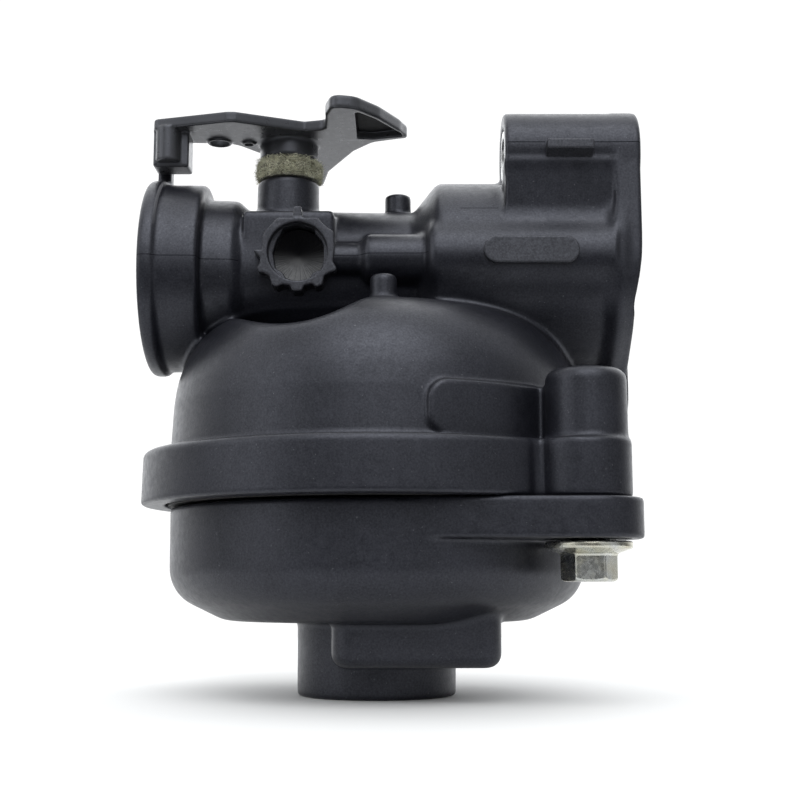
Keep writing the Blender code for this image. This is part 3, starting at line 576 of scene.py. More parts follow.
def bores():
    """Everything bored or cored out of the finished outside."""
    air = rounded(
        [(-4, -38.7, 0), (14.0, -38.7, 0), (13.4, -37.1, 0.5), (13.4, -30.4, 0.4), (10.1, -30.4, 0.6),
         (8.5, -27.0, 2.0), (8.5, -6.5, 3.0), (6.8, -2.0, 3.0), (6.8, 1.0, 3.0), (11.4, 12.5, 6.0),
         (12.8, 22.0, 4.0), (12.8, 41.4, 0.5), (13.6, 43.0, 0), (-4, 43.0, 0)]
    )
    tools = [
        turned(X, BORE, air),
        ring(X, BORE, 13.5, -33.0, 1.4),
        rod(Z, SHAFT, 2.5, 57.3, 90, 0.2),
        rod(Y, PORT, 5.1, -15.2, -9.7, 0.2),
        rod(Z, (NOZZLE_X, 0), 2.1, 25.5, BORE[1], 0.2),
        rod(Z, (NOZZLE_X, 0), 2.7, 20.5, 26.5, 0.2),
        rod(Z, (0, NEEDLE_Y), 2.4, 44, 49.6, 0.2),
        rod(Z, (0, NEEDLE_Y), 1.2, 46, INLET_Z, 0.2),
        rod(Y, (0, INLET_Z), 1.5, NEEDLE_Y, 40, 0.2),
        rod(Y, (0, INLET_Z), 2.3, 29.5, 40, 0.2),
        rod(X, PIN, 1.2, -9, 9, 0.2),
        rod(X, UPPER_STUD, 4.5, 19.5, 43.2, 0.2),
        rod(X, LOWER_STUD, 4.5, 31.5, 43.2, 0.2),
    ]
    tools += [rod(X, jet_place(angle), 1.15, 34, 45, 0.1) for angle in JET_ANGLES]
    return tools + [rod(Z, bolt, 2.7, 29, 46, 0.2) for bolt in BOLTS]


def make_body():
    body = Mould((-39.6, -39.6, 19.9), (43.9, 39.6, 95.4), 0.36)
    cover, tube_along_bore = dome(), barrel()
    body.add(cover)
    scoop_below_port = rod(Y, PORT, 13.9, -40, -6)
    body.cut(scoop_below_port, edge=1.2)
    body.add(tube_along_bore, fillet=0.7)
    body.add(shaft_block(), fillet=0.5)
    body.add(shaft_boss(), fillet=0.5)
    body.add(passage_tube(), fillet=0.7)
    body.add(flange_plate(), fillet=2.2)
    body.cut(flange_hollow(), edge=0.6)
    body.add(*stud_bosses(), fillet=0.45)
    body.add(flange_web(), fillet=0.8)
    body.add(label_pad(), fillet=0.3)
    for x, y in BOLTS:
        body.add(post_web(x, y), fillet=0.5)
        body.add(post_foot(x, y), fillet=0.3)
        body.add(bolt_post(x, y), fillet=0.6)
    inlet_boss = rod(Y, (0, INLET_Z), 5.2, 30.6, 37.0, 0.6)
    pegs = rod(Z, (3.4, 0), 2.2, 76, 82.9, 0.35), rod(Z, (1.2, -18.0), 2.1, 52, 65.0, 0.8)
    stop_pillar = block((-37.2, -1.8, 82), (-34.9, 1.4, 89.5), 0.35)
    body.add(inlet_boss, fillet=0.8)
    body.add(*pegs, stop_pillar, fillet=0.35)
    body.bead(cover, tube_along_bore, 0.28)
    for side in (-1, 1):
        groove_beside_post = rod(Z, (side * 23.4, -side * 30.9), 0.9, 28, 38.6)
        body.cut(groove_beside_post, edge=0.4)
    body.cut(chamber(), edge=0.3)
    body.add(*chamber_fittings(), fillet=0.6)
    gasket_groove = band(Z, (0, 0), 31.2, 34.2, 29.0, 31.6)
    body.cut(gasket_groove, edge=0.2)
    body.cut(*bores(), edge=0.25)
    return body


# ---- Bowl, lever and screws ----


def make_bowl():
    bowl = Mould((-39.6, -35.9, -1.6), (40.9, 37.0, 31.3), 0.36)
    outer = rounded(
        [(-4, 11.6, 0), (24.6, 11.9, 6.0), (33.4, 16.2, 6.5), (BOWL_R, 29.7, 0.5), (-4, 29.7, 0)], 10
    )
    bowl.add(turned(Z, (0, 0), outer))
    foot = rounded([(-4, 0, 0), (12.75, 0, 0.3), (12.85, 13.0, 0), (-4, 13.0, 0)])
    bowl.add(turned(Z, (0, 0), foot), fillet=0.7)
    sump = rounded([(-6.4, -22.0, 3.0), (18.8, -22.0, 3.0), (18.8, 4.0, 3.0), (-6.4, 4.0, 3.0)])
    bowl.add(prism(Z, sump, 5.35, 15.0, 2.1), fillet=0.7)
    ears = belt([(*BOLTS[0], 8.0), (0, 0, BOWL_R - 1.2), (*BOLTS[1], 8.0)])
    bowl.add(prism(Z, ears, 24.0, 29.96, 0.12), fillet=0.2)

    inner = [(10, 13.8), (23.6, 14.2), (26.6, 15.0), (29.0, 16.6), (30.6, 19.2), (31.2, 22.0), (31.3, 31.4)]
    bowl.cut(turned(Z, (0, 0), inner), edge=0.3)
    sump_pocket = block((-4.2, -20, 7.8), (16.3, -1, 16), 0.5)
    foot_pocket = rod(Z, (0, 0), 6.5, 6.0, 16)
    bowl.cut(sump_pocket, foot_pocket, edge=0.3)
    bowl.cut(*[rod(Z, place, 2.7, 22, 32) for place in BOLTS], edge=0.25)
    return bowl


LEVER_OUTLINE = [
    (-37.0, -7.9, 1.0), (-24.5, -11.6, 0.3), (-23.1, -11.6, 0.3), (-12.9, -7.3, 0.3), (-12.1, -7.0, 0.4),
    (-8.6, -7.9, 1.4), (-8.2, -14.6, 2.0),
    (-7.0, -18.6, 1.6), (-3.2, -17.6, 3.0), (0.4, -13.2, 6.0), (3.7, -7.2, 6.0), (5.1, -3.5, 0.6),
    (-0.8, -1.2, 3.0), (-4.2, 3.4, 3.0), (-9.2, 15.0, 3.0), (-10.8, 24.2, 2.4), (-16.2, 24.2, 2.4),
    (-17.8, 8.0, 4.0), (-21.2, 4.0, 3.0), (-24.5, -0.4, 4.0), (-36.8, -1.0, 1.0),
]
CAM_OUTLINE = [*LEVER_OUTLINE[6:12], (-6.4, -2.4, 0.6)]
RECESS = [(-3.4, -16.3, 0.4), (-0.3, -12.7, 4), (3.6, -6.2, 1.0),
          (4.2, -4.6, 0.3), (-0.8, -3.0, 0.8), (-3.4, -3.4, 0.4)]


def make_lever():
    lever = Mould((-38.9, -20.6, 84.6), (6.9, 26.2, 95.6), 0.2)
    top = LEVER_HIGH - 0.3
    lever.add(prism(Z, rounded(LEVER_OUTLINE), LEVER_LOW, LEVER_HIGH, 0.18))
    lever.add(prism(Z, rounded(CAM_OUTLINE), LEVER_LOW + 0.1, 94.1, 0.25), fillet=0.2)
    stop_block = block((-37.1, -7.0, 86.0), (-31.2, -2.2, top), 0.25)
    stop_rod = rod(Z, (-34.6, -7.0), 2.0, 86.6, LEVER_LOW + 0.5, 0.2)
    hub = rod(Z, SHAFT, 4.9, 88.8, top, 0.4)
    lever.add(stop_block, fillet=0.3)
    lever.add(stop_rod, fillet=0.2)
    lever.add(hub, fillet=0.6)
    for x, y, radius, height in LINK_HOLES:
        lever.add(rod(Z, (x, y), radius + 0.5, LEVER_LOW - height, top, 0.2), fillet=0.25)
    lever.cut(prism(Z, rounded(RECESS), LEVER_LOW - 2, LEVER_LOW + 1.4), edge=0.12)
    lever.cut(rod(Z, SHAFT, 2.35, 87, 96, 0.2), edge=0.25)
    lever.cut(*[rod(Z, (x, y), radius, 89, 96, 0.2) for x, y, radius, _ in LINK_HOLES], edge=0.2)
    return lever


def make_recess_floor():
    """The rough floor of the cam's recess, duller than the rest of the lever and painted much darker as
    painted shade.
    """
    floor = Mould((-4.6, -17.4, 92.2), (5.2, -2.4, 94.4), 0.16)
    floor.add(prism(Z, rounded(RECESS), LEVER_LOW + 1.15, LEVER_LOW + 1.6, 0.05))
    return floor


def make_bolt(place):
    """Hex flange screw: a dished collar, a chamfered hexagon with a hollow in its end, and a shank."""
    x, y = place
    screw = Mould((x - 7.6, y - 7.6, 16.6), (x + 7.6, y + 7.6, 45.4), 0.16)
    collar = rounded(
        [(-4, 22.0, 0), (4.3, 22.0, 0.5), (6.35, 22.7, 0.2), (6.35, 23.7, 0.2), (-4, 23.7, 0)]
    )
    screw.add(turned(Z, place, collar))
    flats = arc(x, y, 3.6 / math.cos(math.radians(30)), -5, 355, 7)[:-1]
    hexagon = prism(Z, flats, 17.9, 22.6, 0.12)
    bevelled = turned(Z, place, [(3.5, 17.9), (4.6, 18.5), (4.6, 22.7)])

    def head(p):
        return meet(hexagon[2](p), bevelled[2](p), 0.15)

    screw.add((hexagon[0], hexagon[1], head), fillet=0.35)
    screw.add(rod(Z, place, 2.4, 23.2, 44.0, 0.5), fillet=0.2)
    hollow = rounded([(-4, 17, 0), (2.7, 17, 0), (2.3, 18.5, 0.3), (-4, 18.7, 0)])
    screw.cut(turned(Z, place, hollow), edge=0.2)
    return screw


# ---- Turned pieces, as fine meshes ----


def lathe_object(name, profile, axis, centre, segments=96):
    """A turned piece: the outline of its section, as (radius, place along the axis), run round the axis."""
    section = rounded(profile, 4)
    i, j = across(axis)
    points, faces = [], []
    for k in range(segments):
        angle = 2 * math.pi * k / segments
        for radius, along in section:
            point = [0.0, 0.0, 0.0]
            point[axis] = along
            point[i] = centre[0] + radius * math.cos(angle)
            point[j] = centre[1] + radius * math.sin(angle)
            points.append([c * MM for c in point])
    size = len(section)
    for k in range(segments):
        ahead = (k + 1) % segments
        for n in range(size):
            m = (n + 1) % size
            faces.append((k * size + n, k * size + m, ahead * size + m, ahead * size + n))
    mesh = bpy.data.meshes.new(name)
    mesh.from_pydata(points, [], faces)
    return finish_mesh(name, mesh)


def finish_mesh(name, mesh, smooth_angle=40):
    made = bmesh.new()
    made.from_mesh(mesh)
    bmesh.ops.recalc_face_normals(made, faces=made.faces)
    made.to_mesh(mesh)
    made.free()
    mesh.shade_smooth()
    mesh.set_sharp_from_angle(angle=math.radians(smooth_angle))
    obj = bpy.data.objects.new(name, mesh)
    bpy.context.scene.collection.objects.link(obj)
    return obj


def make_shaft():
    """The steel rod, slotted for the plate and cross-drilled for its screw."""
    shaft = Mould((SHAFT[0] - 3.4, -3.4, 56.4), (SHAFT[0] + 3.4, 3.4, 95.4), 0.14)
    shaft.add(rod(Z, SHAFT, 2.2, 57.6, 94.15, 0.35))
    shaft.cut(block((SHAFT[0] - 0.75, -4, 60.1), (SHAFT[0] + 0.75, 4, 76.9), 0.1), edge=0.1)
    shaft.cut(rod(X, BORE, 1.2, SHAFT[0] - 4, SHAFT[0] + 4, 0.05), edge=0.1)
    shaft.cut(rod(X, BORE, 1.9, SHAFT[0] - 4, SHAFT[0] - 1.5, 0.05), edge=0.1)
    return shaft


def make_plate_screw():
    x = SHAFT[0]
    screw = Mould((x - 4, -2.7, BORE[1] - 2.7), (x + 3.6, 2.7, BORE[1] + 2.7), 0.09)
    head = rounded([(-4, x - 2.9, 0), (1.6, x - 2.9, 0.5), (1.6, x - 1.8, 0.1), (-4, x - 1.8, 0)])
    screw.add(turned(X, BORE, head), rod(X, BORE, 0.9, x - 2.0, x + 2.5, 0.2), fillet=0.05)
    screw.cut(block((x - 4, -0.25, BORE[1] - 3), (x - 2.4, 0.25, BORE[1] + 3), 0.05), edge=0.06)
    return screw


def make_port_plug():
    """A pressed cup whose floor is a shallow cone, unevenly fluted from its middle outwards."""
    x, z = PORT
    radii, turns = np.linspace(0.0, 4.2, 13), 540
    points, faces = [], []
    for k in range(turns):
        angle = 2 * math.pi * k / turns
        for r in radii:
            share = r / 4.2
            flute = math.cos(53 * angle + 1) + 0.8 * math.cos(79 * angle + 2.2) + 0.6 * math.cos(31 * angle)
            depth = -9.98 - 1.2 * share**1.4 - 0.010 * share * flute
            points.append(((x + r * math.cos(angle)) * MM, depth * MM, (z + r * math.sin(angle)) * MM))
        points.append(((x + 4.2 * math.cos(angle)) * MM, -10.0 * MM, (z + 4.2 * math.sin(angle)) * MM))
    size = len(radii) + 1
    for k in range(turns):
        ahead = (k + 1) % turns
        for n in range(size - 1):
            faces.append((k * size + n, k * size + n + 1, ahead * size + n + 1, ahead * size + n))
    faces.append([k * size + size - 1 for k in range(turns)])
    mesh = bpy.data.meshes.new("port_plug")
    mesh.from_pydata(points, [], faces)
    made = bmesh.new()
    made.from_mesh(mesh)
    bmesh.ops.remove_doubles(made, verts=made.verts, dist=0.02 * MM)
    made.to_mesh(mesh)
    made.free()
    return finish_mesh("port_plug", mesh, 60)


# ---- Felt ring ----

FELT = (-15.1, 0.0)
FELT_Z = (85.4, 88.55)
FELT_R = 5.25


def make_felt():
    """A thick wool ring: a crowned section, its surface pulled about by the loose wool."""
    low, high = FELT_Z
    section = [(2.75, low, 0.3), (FELT_R - 0.25, low, 0.7), (FELT_R + 0.2, (low + high) / 2, 1.6),
                (FELT_R - 0.25, high, 0.7), (2.75, high, 0.3)]
    felt = lathe_object("felt_ring", section, Z, FELT, segments=180)
    finer = felt.modifiers.new("finer", "SUBSURF")
    finer.levels = finer.render_levels = 1
    apply_modifiers(felt)
    for vertex in felt.data.vertices:
        out = Vector((vertex.co.x - FELT[0] * MM, vertex.co.y, 0)).normalized()
        lump = noise.noise(vertex.co / MM * 0.9) * 0.26 + noise.noise(vertex.co / MM * 2.6) * 0.16
        vertex.co += out * (lump * MM)
        vertex.co.z = min(max(vertex.co.z, (low - 0.05) * MM), (high + 0.05) * MM)
    felt.data.shade_smooth()
    return felt


def make_fibres(count=5200):
    """Loose wool fibres standing off the ring's rim, each a thin three-sided strand that curls."""
    rng = np.random.default_rng(11)
    low, high = FELT_Z
    points, faces = [], []
    for _ in range(count):
        angle = rng.uniform(0, 2 * math.pi)
        out = Vector((math.cos(angle), math.sin(angle), 0))
        along = Vector((-out.y, out.x, 0))
        start = Vector((*FELT, 0)) + out * (FELT_R - rng.uniform(0.05, 0.35))
        start.z = rng.uniform(low + 0.1, high - 0.1)
        drift = along * rng.normal(0, 0.6) + Vector((0, 0, rng.normal(0, 0.8))) + out * rng.uniform(0.1, 1.0)
        drift = drift.normalized() * rng.uniform(0.4, 1.3)
        curl = along * rng.normal(0, 0.35) + Vector((0, 0, rng.normal(0, 0.3))) - out * rng.uniform(0, 0.35)
        first = len(points)
        for k in range(5):
            t = k / 4
            middle = start + drift * t + curl * t * t
            middle.z = min(max(middle.z, low - 0.15), high + 0.2)
            thick = 0.045 * (1 - 0.5 * t)
            for side in range(3):
                angle = 2 * math.pi * side / 3
                offset = out * math.cos(angle) + Vector((0, 0, math.sin(angle)))
                points.append(tuple((middle + offset * thick) * MM))
            if k:
                for side in range(3):
                    a, b = first + 3 * (k - 1) + side, first + 3 * (k - 1) + (side + 1) % 3
                    faces.append((a, b, b + 3, a + 3))
        faces.append((first, first + 2, first + 1))
        faces.append((first + 12, first + 13, first + 14))
    mesh = bpy.data.meshes.new("felt_fibres")
    mesh.from_pydata(points, [], faces)
    return finish_mesh("felt_fibres", mesh, 80)


# ---- Materials ----


class Paint:
    """One procedural material. Its textures are laid out in millimetres on the piece itself."""

    def __init__(self, name, **values):
        self.material = bpy.data.materials.new(name)
        self.material.use_nodes = True
        self.nodes = self.material.node_tree.nodes
        self.links = self.material.node_tree.links
        self.shader = self.nodes["Principled BSDF"]
        for socket, value in values.items():
            self.shader.inputs[socket.replace("_", " ")].default_value = value
        coordinates = self.nodes.new("ShaderNodeTexCoord")
        self.place = self.nodes.new("ShaderNodeMapping")
        self.place.inputs["Scale"].default_value = (1 / MM,) * 3
        self.link(coordinates.outputs["Object"], self.place.inputs["Vector"])

    def link(self, a, b):
        self.links.new(a, b)

    def noise(self, per_mm, detail=3.0, roughness=0.55, stretch=(1, 1, 1)):
        """A noise with this many lumps to the millimetre, stretched along the axes if wanted."""
        mapping = self.nodes.new("ShaderNodeMapping")
        mapping.inputs["Scale"].default_value = stretch
        self.link(self.place.outputs[0], mapping.inputs["Vector"])
        texture = self.nodes.new("ShaderNodeTexNoise")
        texture.inputs["Scale"].default_value = per_mm
        texture.inputs["Detail"].default_value = detail
        texture.inputs["Roughness"].default_value = roughness
        self.link(mapping.outputs[0], texture.inputs["Vector"])
        return texture.outputs["Fac"]

    def ramp(self, source, *stops):
        """Colours or greys at places from 0 to 1 along the source."""
        ramp = self.nodes.new("ShaderNodeValToRGB")
        elements = ramp.color_ramp.elements
        while len(elements) < len(stops):
            elements.new(0.5)
        for element, (place, colour) in zip(elements, stops):
            element.position = place
            element.color = (*colour, 1) if isinstance(colour, tuple) else (colour,) * 3 + (1,)
        self.link(source, ramp.inputs["Fac"])
        return ramp.outputs["Color"]

    def mix(self, share, a, b):
        mix = self.nodes.new("ShaderNodeMix")
        mix.data_type = "RGBA"
        self.link(share, mix.inputs["Factor"])
        for socket, value in ((mix.inputs[6], a), (mix.inputs[7], b)):
            if isinstance(value, tuple):
                socket.default_value = (*value, 1)
            else:
                self.link(value, socket)
        return mix.outputs[2]

    def axes(self):
        """The place on the piece as X, Y and Z."""
        split = self.nodes.new("ShaderNodeSeparateXYZ")
        self.link(self.place.outputs[0], split.inputs[0])
        return split.outputs

    def within(self, *limits):
        """One inside some limits, each (axis, middle, half width), and zero elsewhere."""
        place = self.axes()
        inside = None
        for axis, middle, half in limits:
            near = self.nodes.new("ShaderNodeMath")
            near.operation = "COMPARE"
            self.link(place[axis], near.inputs[0])
            near.inputs[1].default_value = middle
            near.inputs[2].default_value = half
            inside = near.outputs[0] if inside is None else self.times(inside, near.outputs[0])
        return inside

    def spread(self, source, low, high, first=0.3, last=0.7):
        """The source between first and last, carried over to between low and high."""
        spread = self.nodes.new("ShaderNodeMapRange")
        for socket, value in (("From Min", first), ("From Max", last), ("To Min", low), ("To Max", high)):
            spread.inputs[socket].default_value = value
        self.link(source, spread.inputs["Value"])
        return spread.outputs[0]

    def times(self, a, b):
        both = self.nodes.new("ShaderNodeMath")
        both.operation = "MULTIPLY"
        self.link(a, both.inputs[0])
        self.link(b, both.inputs[1])
        return both.outputs[0]

    def colour(self, source):
        self.link(source, self.shader.inputs["Base Color"])

    def roughness(self, source, low, high):
        """Roughness that follows the source between two values."""
        self.link(self.spread(source, low, high), self.shader.inputs["Roughness"])

    def bump(self, source, depth_mm, strength=1.0):
        """Relief of this depth, laid over any relief made before."""
        bump = self.nodes.new("ShaderNodeBump")
        bump.inputs["Distance"].default_value = depth_mm * MM
        bump.inputs["Strength"].default_value = strength
        self.link(source, bump.inputs["Height"])
        normal = self.shader.inputs["Normal"]
        if normal.is_linked:
            self.link(normal.links[0].from_socket, bump.inputs["Normal"])
        self.link(bump.outputs[0], normal)


NYLON = ((0.0046, 0.0048, 0.0070), (0.0080, 0.0083, 0.0116))
SEAMS = (
    ((X, -29.0, 8.6), (Y, -15.0, 3.0), (Z, 68.75, 0.07)),
    ((X, 0.6, 7.6), (Y, -15.0, 3.0), (Z, 69.25, 0.07)),
    ((X, 23.8, 3.0), (Y, -15.0, 3.0), (Z, 87.25, 0.08)),
    ((X, 38.2, 3.8), (Y, -15.0, 3.0), (Z, 87.25, 0.08)),
    ((X, 16.4, 3.0), (Y, -13.0, 3.0), (Z, 77.0, 0.06)),
)
# Painted highlight: a lighter band along the back edge of the bell's lip, where the light catches it.
PAINTED_EDGE_HIGHLIGHT = ((X, -35.25, 0.20), (Y, -8.0, 8.5), (Z, 79.5, 5.6))


def nylon_paint(name="nylon", shades=NYLON, rough=(0.34, 0.45), grain=1.0, marked=False):
    """Glass-filled nylon: dull black, faintly clouded, with a fine grain and specks."""
    paint = Paint(name, Specular_Tint=(0.85, 0.875, 1.0, 1))
    base = paint.ramp(paint.noise(0.16, 4.0), (0.35, shades[0]), (0.65, shades[1]))
    specks = paint.ramp(paint.noise(2.4, 1.0), (0.74, 0.0), (0.79, 1.0))
    base = paint.mix(specks, base, (0.05, 0.051, 0.056))
    gloss = paint.spread(paint.noise(3.4, 2.0, 0.6), 0.5 - 0.12 * grain, 0.5 + 0.12 * grain)
    if marked:
        for limits in SEAMS:
            gloss = paint.times(gloss, paint.spread(paint.within(*limits), 1.0, 0.2, 0.0, 1.0))
        # Painted highlight: the lip's back edge is mixed towards light grey, more strongly higher up.
        edge_highlight = paint.times(paint.within(*PAINTED_EDGE_HIGHLIGHT), paint.spread(paint.axes()[Z], 0.0, 0.8, 73.0, 84.0))
        base = paint.mix(edge_highlight, base, (0.16, 0.16, 0.17))
    paint.colour(base)
    paint.link(gloss, paint.shader.inputs["Specular IOR Level"])
    paint.roughness(paint.noise(0.9, 3.0), *rough)
    paint.bump(paint.noise(0.35, 2.0), 0.05, 0.2)
    paint.bump(paint.noise(3.2, 3.0, 0.65), 0.014 * grain, 0.9)
    return paint.material


def acetal_paint():
    return nylon_paint("acetal", ((0.030, 0.031, 0.033), (0.042, 0.043, 0.046)), (0.26, 0.36), 0.4)


def plug_paint():
    """The port's floor: painted shade, dark above, and lighter and glossier below, where its bright fine
    streaks are.
    """
    paint = Paint("port_floor")
    # Painted shade: the floor is darker and less glossy towards its top, and lighter and glossier towards its
    # bottom.
    height = paint.spread(paint.axes()[Z], 1.0, 0.0, PORT[1] - 2.6, PORT[1] + 1.4)
    paint.colour(paint.ramp(height, (0.25, (0.004, 0.004, 0.005)), (0.8, (0.026, 0.027, 0.030))))
    paint.link(paint.spread(height, 0.05, 0.4, 0.1, 0.8), paint.shader.inputs["Specular IOR Level"])
    paint.roughness(paint.noise(1.4), 0.28, 0.45)
    return paint.material


def rubber_paint():
    paint = Paint("rubber")
    paint.colour(paint.ramp(paint.noise(0.8), (0.4, (0.009, 0.009, 0.010)), (0.7, (0.022, 0.022, 0.022))))
    paint.roughness(paint.noise(1.5), 0.6, 0.8)
    paint.bump(paint.noise(6.0), 0.01, 0.6)
    return paint.material


def zinc_paint():
    """Bright zinc with a thin passivation that warms it here and there, lightly scuffed."""
    paint = Paint("zinc", Metallic=1.0)
    paint.colour(paint.ramp(paint.noise(0.32, 3.0), (0.38, (0.52, 0.53, 0.51)), (0.56, (0.56, 0.55, 0.47)),
                            (0.70, (0.50, 0.47, 0.38))))
    paint.roughness(paint.noise(1.2), 0.18, 0.32)
    paint.bump(paint.noise(1.1, 3.0), 0.02, 0.25)
    paint.bump(paint.noise(5.0, 2.0, 0.5, (1, 1, 0.15)), 0.004, 0.5)
    return paint.material


def steel_paint():
    paint = Paint("steel", Metallic=1.0)
    paint.colour(paint.ramp(paint.noise(0.7), (0.4, (0.46, 0.46, 0.46)), (0.65, (0.60, 0.60, 0.60))))
    paint.roughness(paint.noise(2.0, 2.0, 0.5, (1, 1, 6)), 0.22, 0.42)
    paint.bump(paint.noise(3.0, 2.0, 0.5, (0.3, 0.3, 6)), 0.006, 0.5)
    return paint.material


def brass_paint():
    paint = Paint("brass", Metallic=1.0)
    paint.colour(paint.ramp(paint.noise(0.6), (0.35, (0.56, 0.38, 0.14)), (0.7, (0.78, 0.58, 0.27))))
    paint.roughness(paint.noise(1.6, 2.0), 0.22, 0.42)
    paint.bump(paint.noise(3.0, 2.0, 0.5, (5, 5, 5)), 0.005, 0.5)
    return paint.material


def felt_paint():
    paint = Paint("felt", Roughness=0.95, Sheen_Weight=0.3, Sheen_Roughness=0.5)
    shades = (0.36, (0.06, 0.058, 0.04)), (0.5, (0.20, 0.195, 0.14)), (0.64, (0.45, 0.44, 0.33))
    paint.colour(paint.ramp(paint.noise(1.6, 5.0, 0.7), *shades))
    paint.bump(paint.noise(4.0, 4.0, 0.7), 0.12, 0.9)
    return paint.material


def fibre_paint():
    paint = Paint("wool_fibre", Roughness=0.8, Sheen_Weight=0.4, Sheen_Roughness=0.4)
    paint.colour(paint.ramp(paint.noise(0.7, 3.0), (0.36, (0.40, 0.395, 0.28)), (0.62, (0.84, 0.83, 0.66))))
    return paint.material


# ---- Putting the object together ----


def place(piece, nodes, slot, material, body="carburetor"):
    """Gives a piece its material and its body, and lets it stand for its CAD nodes. Its slot is not used."""
    piece.data.materials.clear()
    piece.data.materials.append(material)
    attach(piece, body)
    if nodes:
        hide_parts(*nodes)
    return piece


def moulded_pieces(nylon, acetal):
    body_paint = nylon_paint("body_nylon", marked=True)
    # A copy of the body's nylon with a stronger grain for the port ring, tube pad and boss tab; its lighter
    # colour is painted light on these raised faces.
    raised = nylon_paint("lit_raised_nylon", ((0.016, 0.0165, 0.019), (0.024, 0.0245, 0.028)), (0.36, 0.46), 1.8)
    body = make_body().to_object("body_moulding", 170_000)
    place(body, ["carburetor_body"], "black_nylon", body_paint)
    place(make_port_ring().to_object("port_ring", 60_000), [], "black_nylon", raised)
    place(make_oblong_pad().to_object("tube_pad", 20_000), [], "black_nylon", raised)
    place(make_boss_tab().to_object("boss_tab", 20_000), [], "black_nylon", raised)
    place(make_bowl().to_object("bowl_moulding", 80_000), ["float_bowl"], "black_nylon", nylon)
    lever = make_lever().to_object("lever_moulding", 60_000)
    place(lever, ["throttle_lever"], "dark_acetal", acetal, "throttle")
    # Painted shade: the recess floor is a thin sheet coloured far darker than the acetal round it.
    dull = Paint("recess_painted_shade", Roughness=0.75, Specular_IOR_Level=0.2)
    dull.colour(dull.ramp(dull.noise(1.2), (0.3, (0.006, 0.006, 0.007)), (0.7, (0.014, 0.014, 0.016))))
    place(make_recess_floor().to_object("cam_recess", 12_000), [], "dark_acetal", dull.material, "throttle")
    place(make_port_plug(), ["mixture_port_plug"], "dark_acetal", plug_paint())


def metal_pieces(zinc, steel, brass):
    for name, spot in zip(("front", "rear"), BOLTS):
        screw = make_bolt(spot).to_object(f"hex_screw_{name}", 40_000)
        place(screw, [f"bowl_bolt_{name}"], "zinc_plate", zinc)
    place(make_shaft().to_object("shaft_rod", 30_000), ["throttle_shaft"], "steel", steel, "throttle")
    screw = make_plate_screw().to_object("plate_screw", 16_000)
    place(screw, ["throttle_plate_screw"], "steel", steel, "throttle")
    x = SHAFT[0]
    disc = [(1.2, x - 0.45, 0.05), (8.1, x - 0.45, 0.12), (8.1, x + 0.45, 0.12), (1.2, x + 0.45, 0.05)]
    place(lathe_object("butterfly", disc, X, BORE), ["throttle_plate"], "brass", brass, "throttle")

    sleeve = [(3.2, 20.6, 0.3), (4.2, 20.6, 0.25), (4.2, 42.1, 0.25), (3.2, 42.1, 0.35)]
    place(lathe_object("sleeve_tube", sleeve, X, UPPER_STUD), ["stud_sleeve"], "steel", steel)
    thread = []
    for n in range(11):
        thread += [(2.5, 41.3 - 0.8 * n, 0), (2.14, 40.9 - 0.8 * n, 0)]
    insert = [(2.5, 31.8, 0), (4.2, 31.8, 0.2), (4.2, 42.1, 0.2), (2.9, 42.1, 0), *thread]
    nut = lathe_object("insert_nut", insert, X, LOWER_STUD)
    place(nut, ["threaded_insert"], "brass", brass)

    nipple = [(1.0, 31.0, 0), (2.0, 31.0, 0.1), (2.0, 37.3, 0.1), (3.6, 37.3, 0.2), (3.6, 38.8, 0.2),
              (2.2, 38.8, 0.3), (2.2, 43.0, 0.2), (3.1, 45.0, 0.15), (2.3, 45.05, 0.15), (2.3, 46.6, 0.2),
              (3.0, 48.6, 0.15), (2.3, 48.65, 0.15), (2.0, 50.2, 0.25), (1.0, 50.2, 0.2)]
    piece = lathe_object("hose_nipple", nipple, Y, (0, INLET_Z), segments=72)
    place(piece, ["fuel_inlet_nipple"], "brass", brass)
    tip = [(0.7, 27.2, 0), (1.8, 27.2, 0.2), (1.8, 63.4, 0.3), (1.3, 64.0, 0.2), (0.7, 64.0, 0.1)]
    nozzle = lathe_object("nozzle_tube", tip, Z, (NOZZLE_X, 0), 48)
    place(nozzle, ["main_nozzle"], "brass", brass)
    for name, angle, hole in zip(("main", "idle"), JET_ANGLES, (0.5, 0.3)):
        bleed = [(hole, 35.0, 0), (1.0, 35.0, 0.1), (1.0, 39.4, 0.15), (hole + 0.15, 39.4, 0),
                 (hole, 39.1, 0)]
        piece = lathe_object(f"{name}_bleed", bleed, X, jet_place(angle), 40)
        place(piece, [f"{name}_air_jet"], "brass", brass)


def soft_pieces(rubber, felt, fibre):
    section = [(r, x, 1.04) for r, x in ((12.45, -34.05), (14.55, -34.05), (14.55, -31.95), (12.45, -31.95))]
    seal = lathe_object("bell_seal", section, X, BORE, 128)
    place(seal, ["intake_o_ring"], "black_rubber", rubber)
    felt_ring = place(make_felt(), ["felt_seal"], "cream_felt", felt)
    place(make_fibres(), [], "cream_felt", fibre)


def inner_nodes(paints):
    """CAD pieces that stay as they are, inside the chamber, with better materials."""
    for node, paint in paints.items():
        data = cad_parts[node].data
        data.materials.clear()
        data.materials.append(paint)


# ---- Stage ----


def make_floor():
    """A sheet of pale board, just large enough to fill the picture under the object."""
    paint = Paint("floor", Roughness=0.9, Specular_IOR_Level=0.1)
    paint.colour(paint.ramp(paint.noise(0.01, 1.0), (0.4, (0.71, 0.71, 0.705)), (0.6, (0.73, 0.73, 0.725))))
    mesh = bpy.data.meshes.new("floor")
    sheet = [(-0.2, -0.115, 0), (0.2, -0.115, 0), (0.2, 0.23, 0), (-0.2, 0.23, 0)]
    mesh.from_pydata(sheet, [], [(0, 1, 2, 3)])
    floor = bpy.data.objects.new("floor", mesh)
    mesh.materials.append(paint.material)
    bpy.context.scene.collection.objects.link(floor)


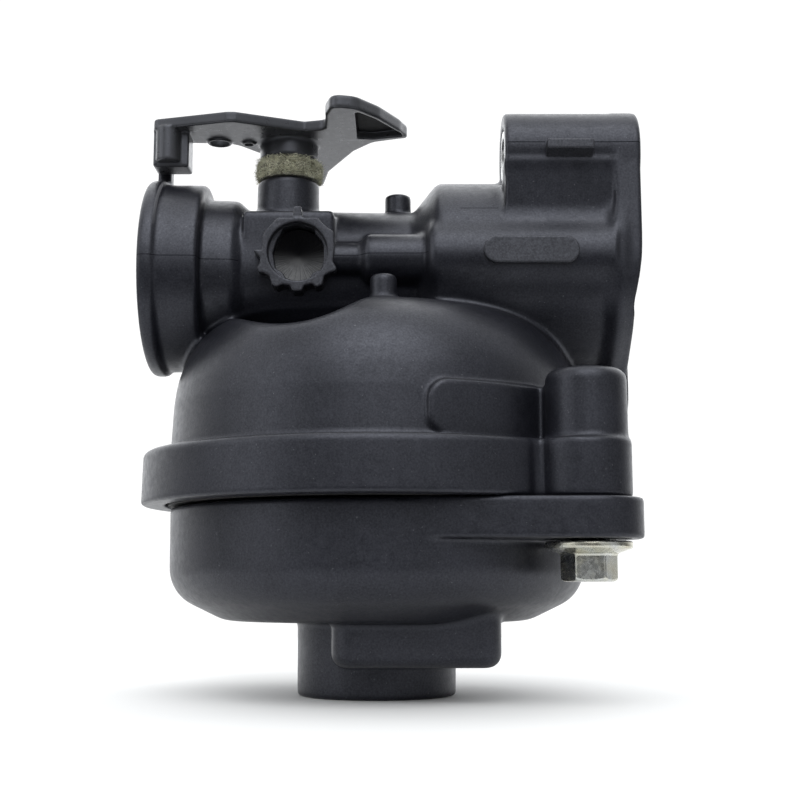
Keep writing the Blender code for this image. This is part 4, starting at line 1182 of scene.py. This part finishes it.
def make_world():
    """A light tent on a white backdrop, brightest above and behind, dark low down in front."""
    world = bpy.data.worlds.new("studio")
    bpy.context.scene.world = world
    world.use_nodes = True
    nodes, links = world.node_tree.nodes, world.node_tree.links
    room = nodes["Background"]
    room.inputs["Color"].default_value = (0.97, 0.985, 1.0, 1)
    facing = nodes.new("ShaderNodeTexCoord").outputs["Generated"]
    total = None
    for direction, start, end, glow in WORLD_GLOWS:
        dot = nodes.new("ShaderNodeVectorMath")
        dot.operation = "DOT_PRODUCT"
        dot.inputs[1].default_value = Vector(direction).normalized()
        links.new(facing, dot.inputs[0])
        spread = nodes.new("ShaderNodeMapRange")
        spread.interpolation_type = "SMOOTHSTEP"
        spread.inputs["From Min"].default_value = start
        spread.inputs["From Max"].default_value = end
        spread.inputs["To Max"].default_value = glow
        links.new(dot.outputs["Value"], spread.inputs["Value"])
        if total is not None:
            both = nodes.new("ShaderNodeMath")
            links.new(total, both.inputs[0])
            links.new(spread.outputs[0], both.inputs[1])
            total = both.outputs[0]
        else:
            total = spread.outputs[0]
    links.new(total, room.inputs["Strength"])
    backdrop = nodes.new("ShaderNodeBackground")
    backdrop.inputs["Color"].default_value = (1, 1, 1, 1)
    backdrop.inputs["Strength"].default_value = 1.1
    rays = nodes.new("ShaderNodeLightPath")
    mix = nodes.new("ShaderNodeMixShader")
    links.new(rays.outputs["Is Camera Ray"], mix.inputs[0])
    links.new(room.outputs[0], mix.inputs[1])
    links.new(backdrop.outputs[0], mix.inputs[2])
    links.new(mix.outputs[0], nodes["World Output"].inputs[0])


CAMERA_PLACE = (0.003753, -0.218, 0.017346)
CAMERA_RISE = 8
CAMERA_LENS = 59.535


def make_camera():
    data = bpy.data.cameras.new("camera")
    data.sensor_width = 36
    data.lens = CAMERA_LENS
    data.clip_start = 0.01
    camera = bpy.data.objects.new("camera", data)
    camera.location = CAMERA_PLACE
    camera.rotation_euler = (math.radians(90 + CAMERA_RISE), 0, 0)
    bpy.context.scene.collection.objects.link(camera)
    bpy.context.scene.camera = camera


def main():
    make_camera()
    make_world()
    make_floor()
    bpy.context.scene.view_settings.view_transform = "Standard"

    nylon, acetal, rubber = nylon_paint(), acetal_paint(), rubber_paint()
    zinc, steel, brass = zinc_paint(), steel_paint(), brass_paint()
    moulded_pieces(nylon, acetal)
    metal_pieces(zinc, steel, brass)
    soft_pieces(rubber, felt_paint(), fibre_paint())
    inner_nodes({
        "bowl_gasket": rubber, "needle_seat": rubber, "inlet_needle": steel, "main_float": acetal,
        "float_hinge_pin": steel, "main_jet": brass,
    })


main()
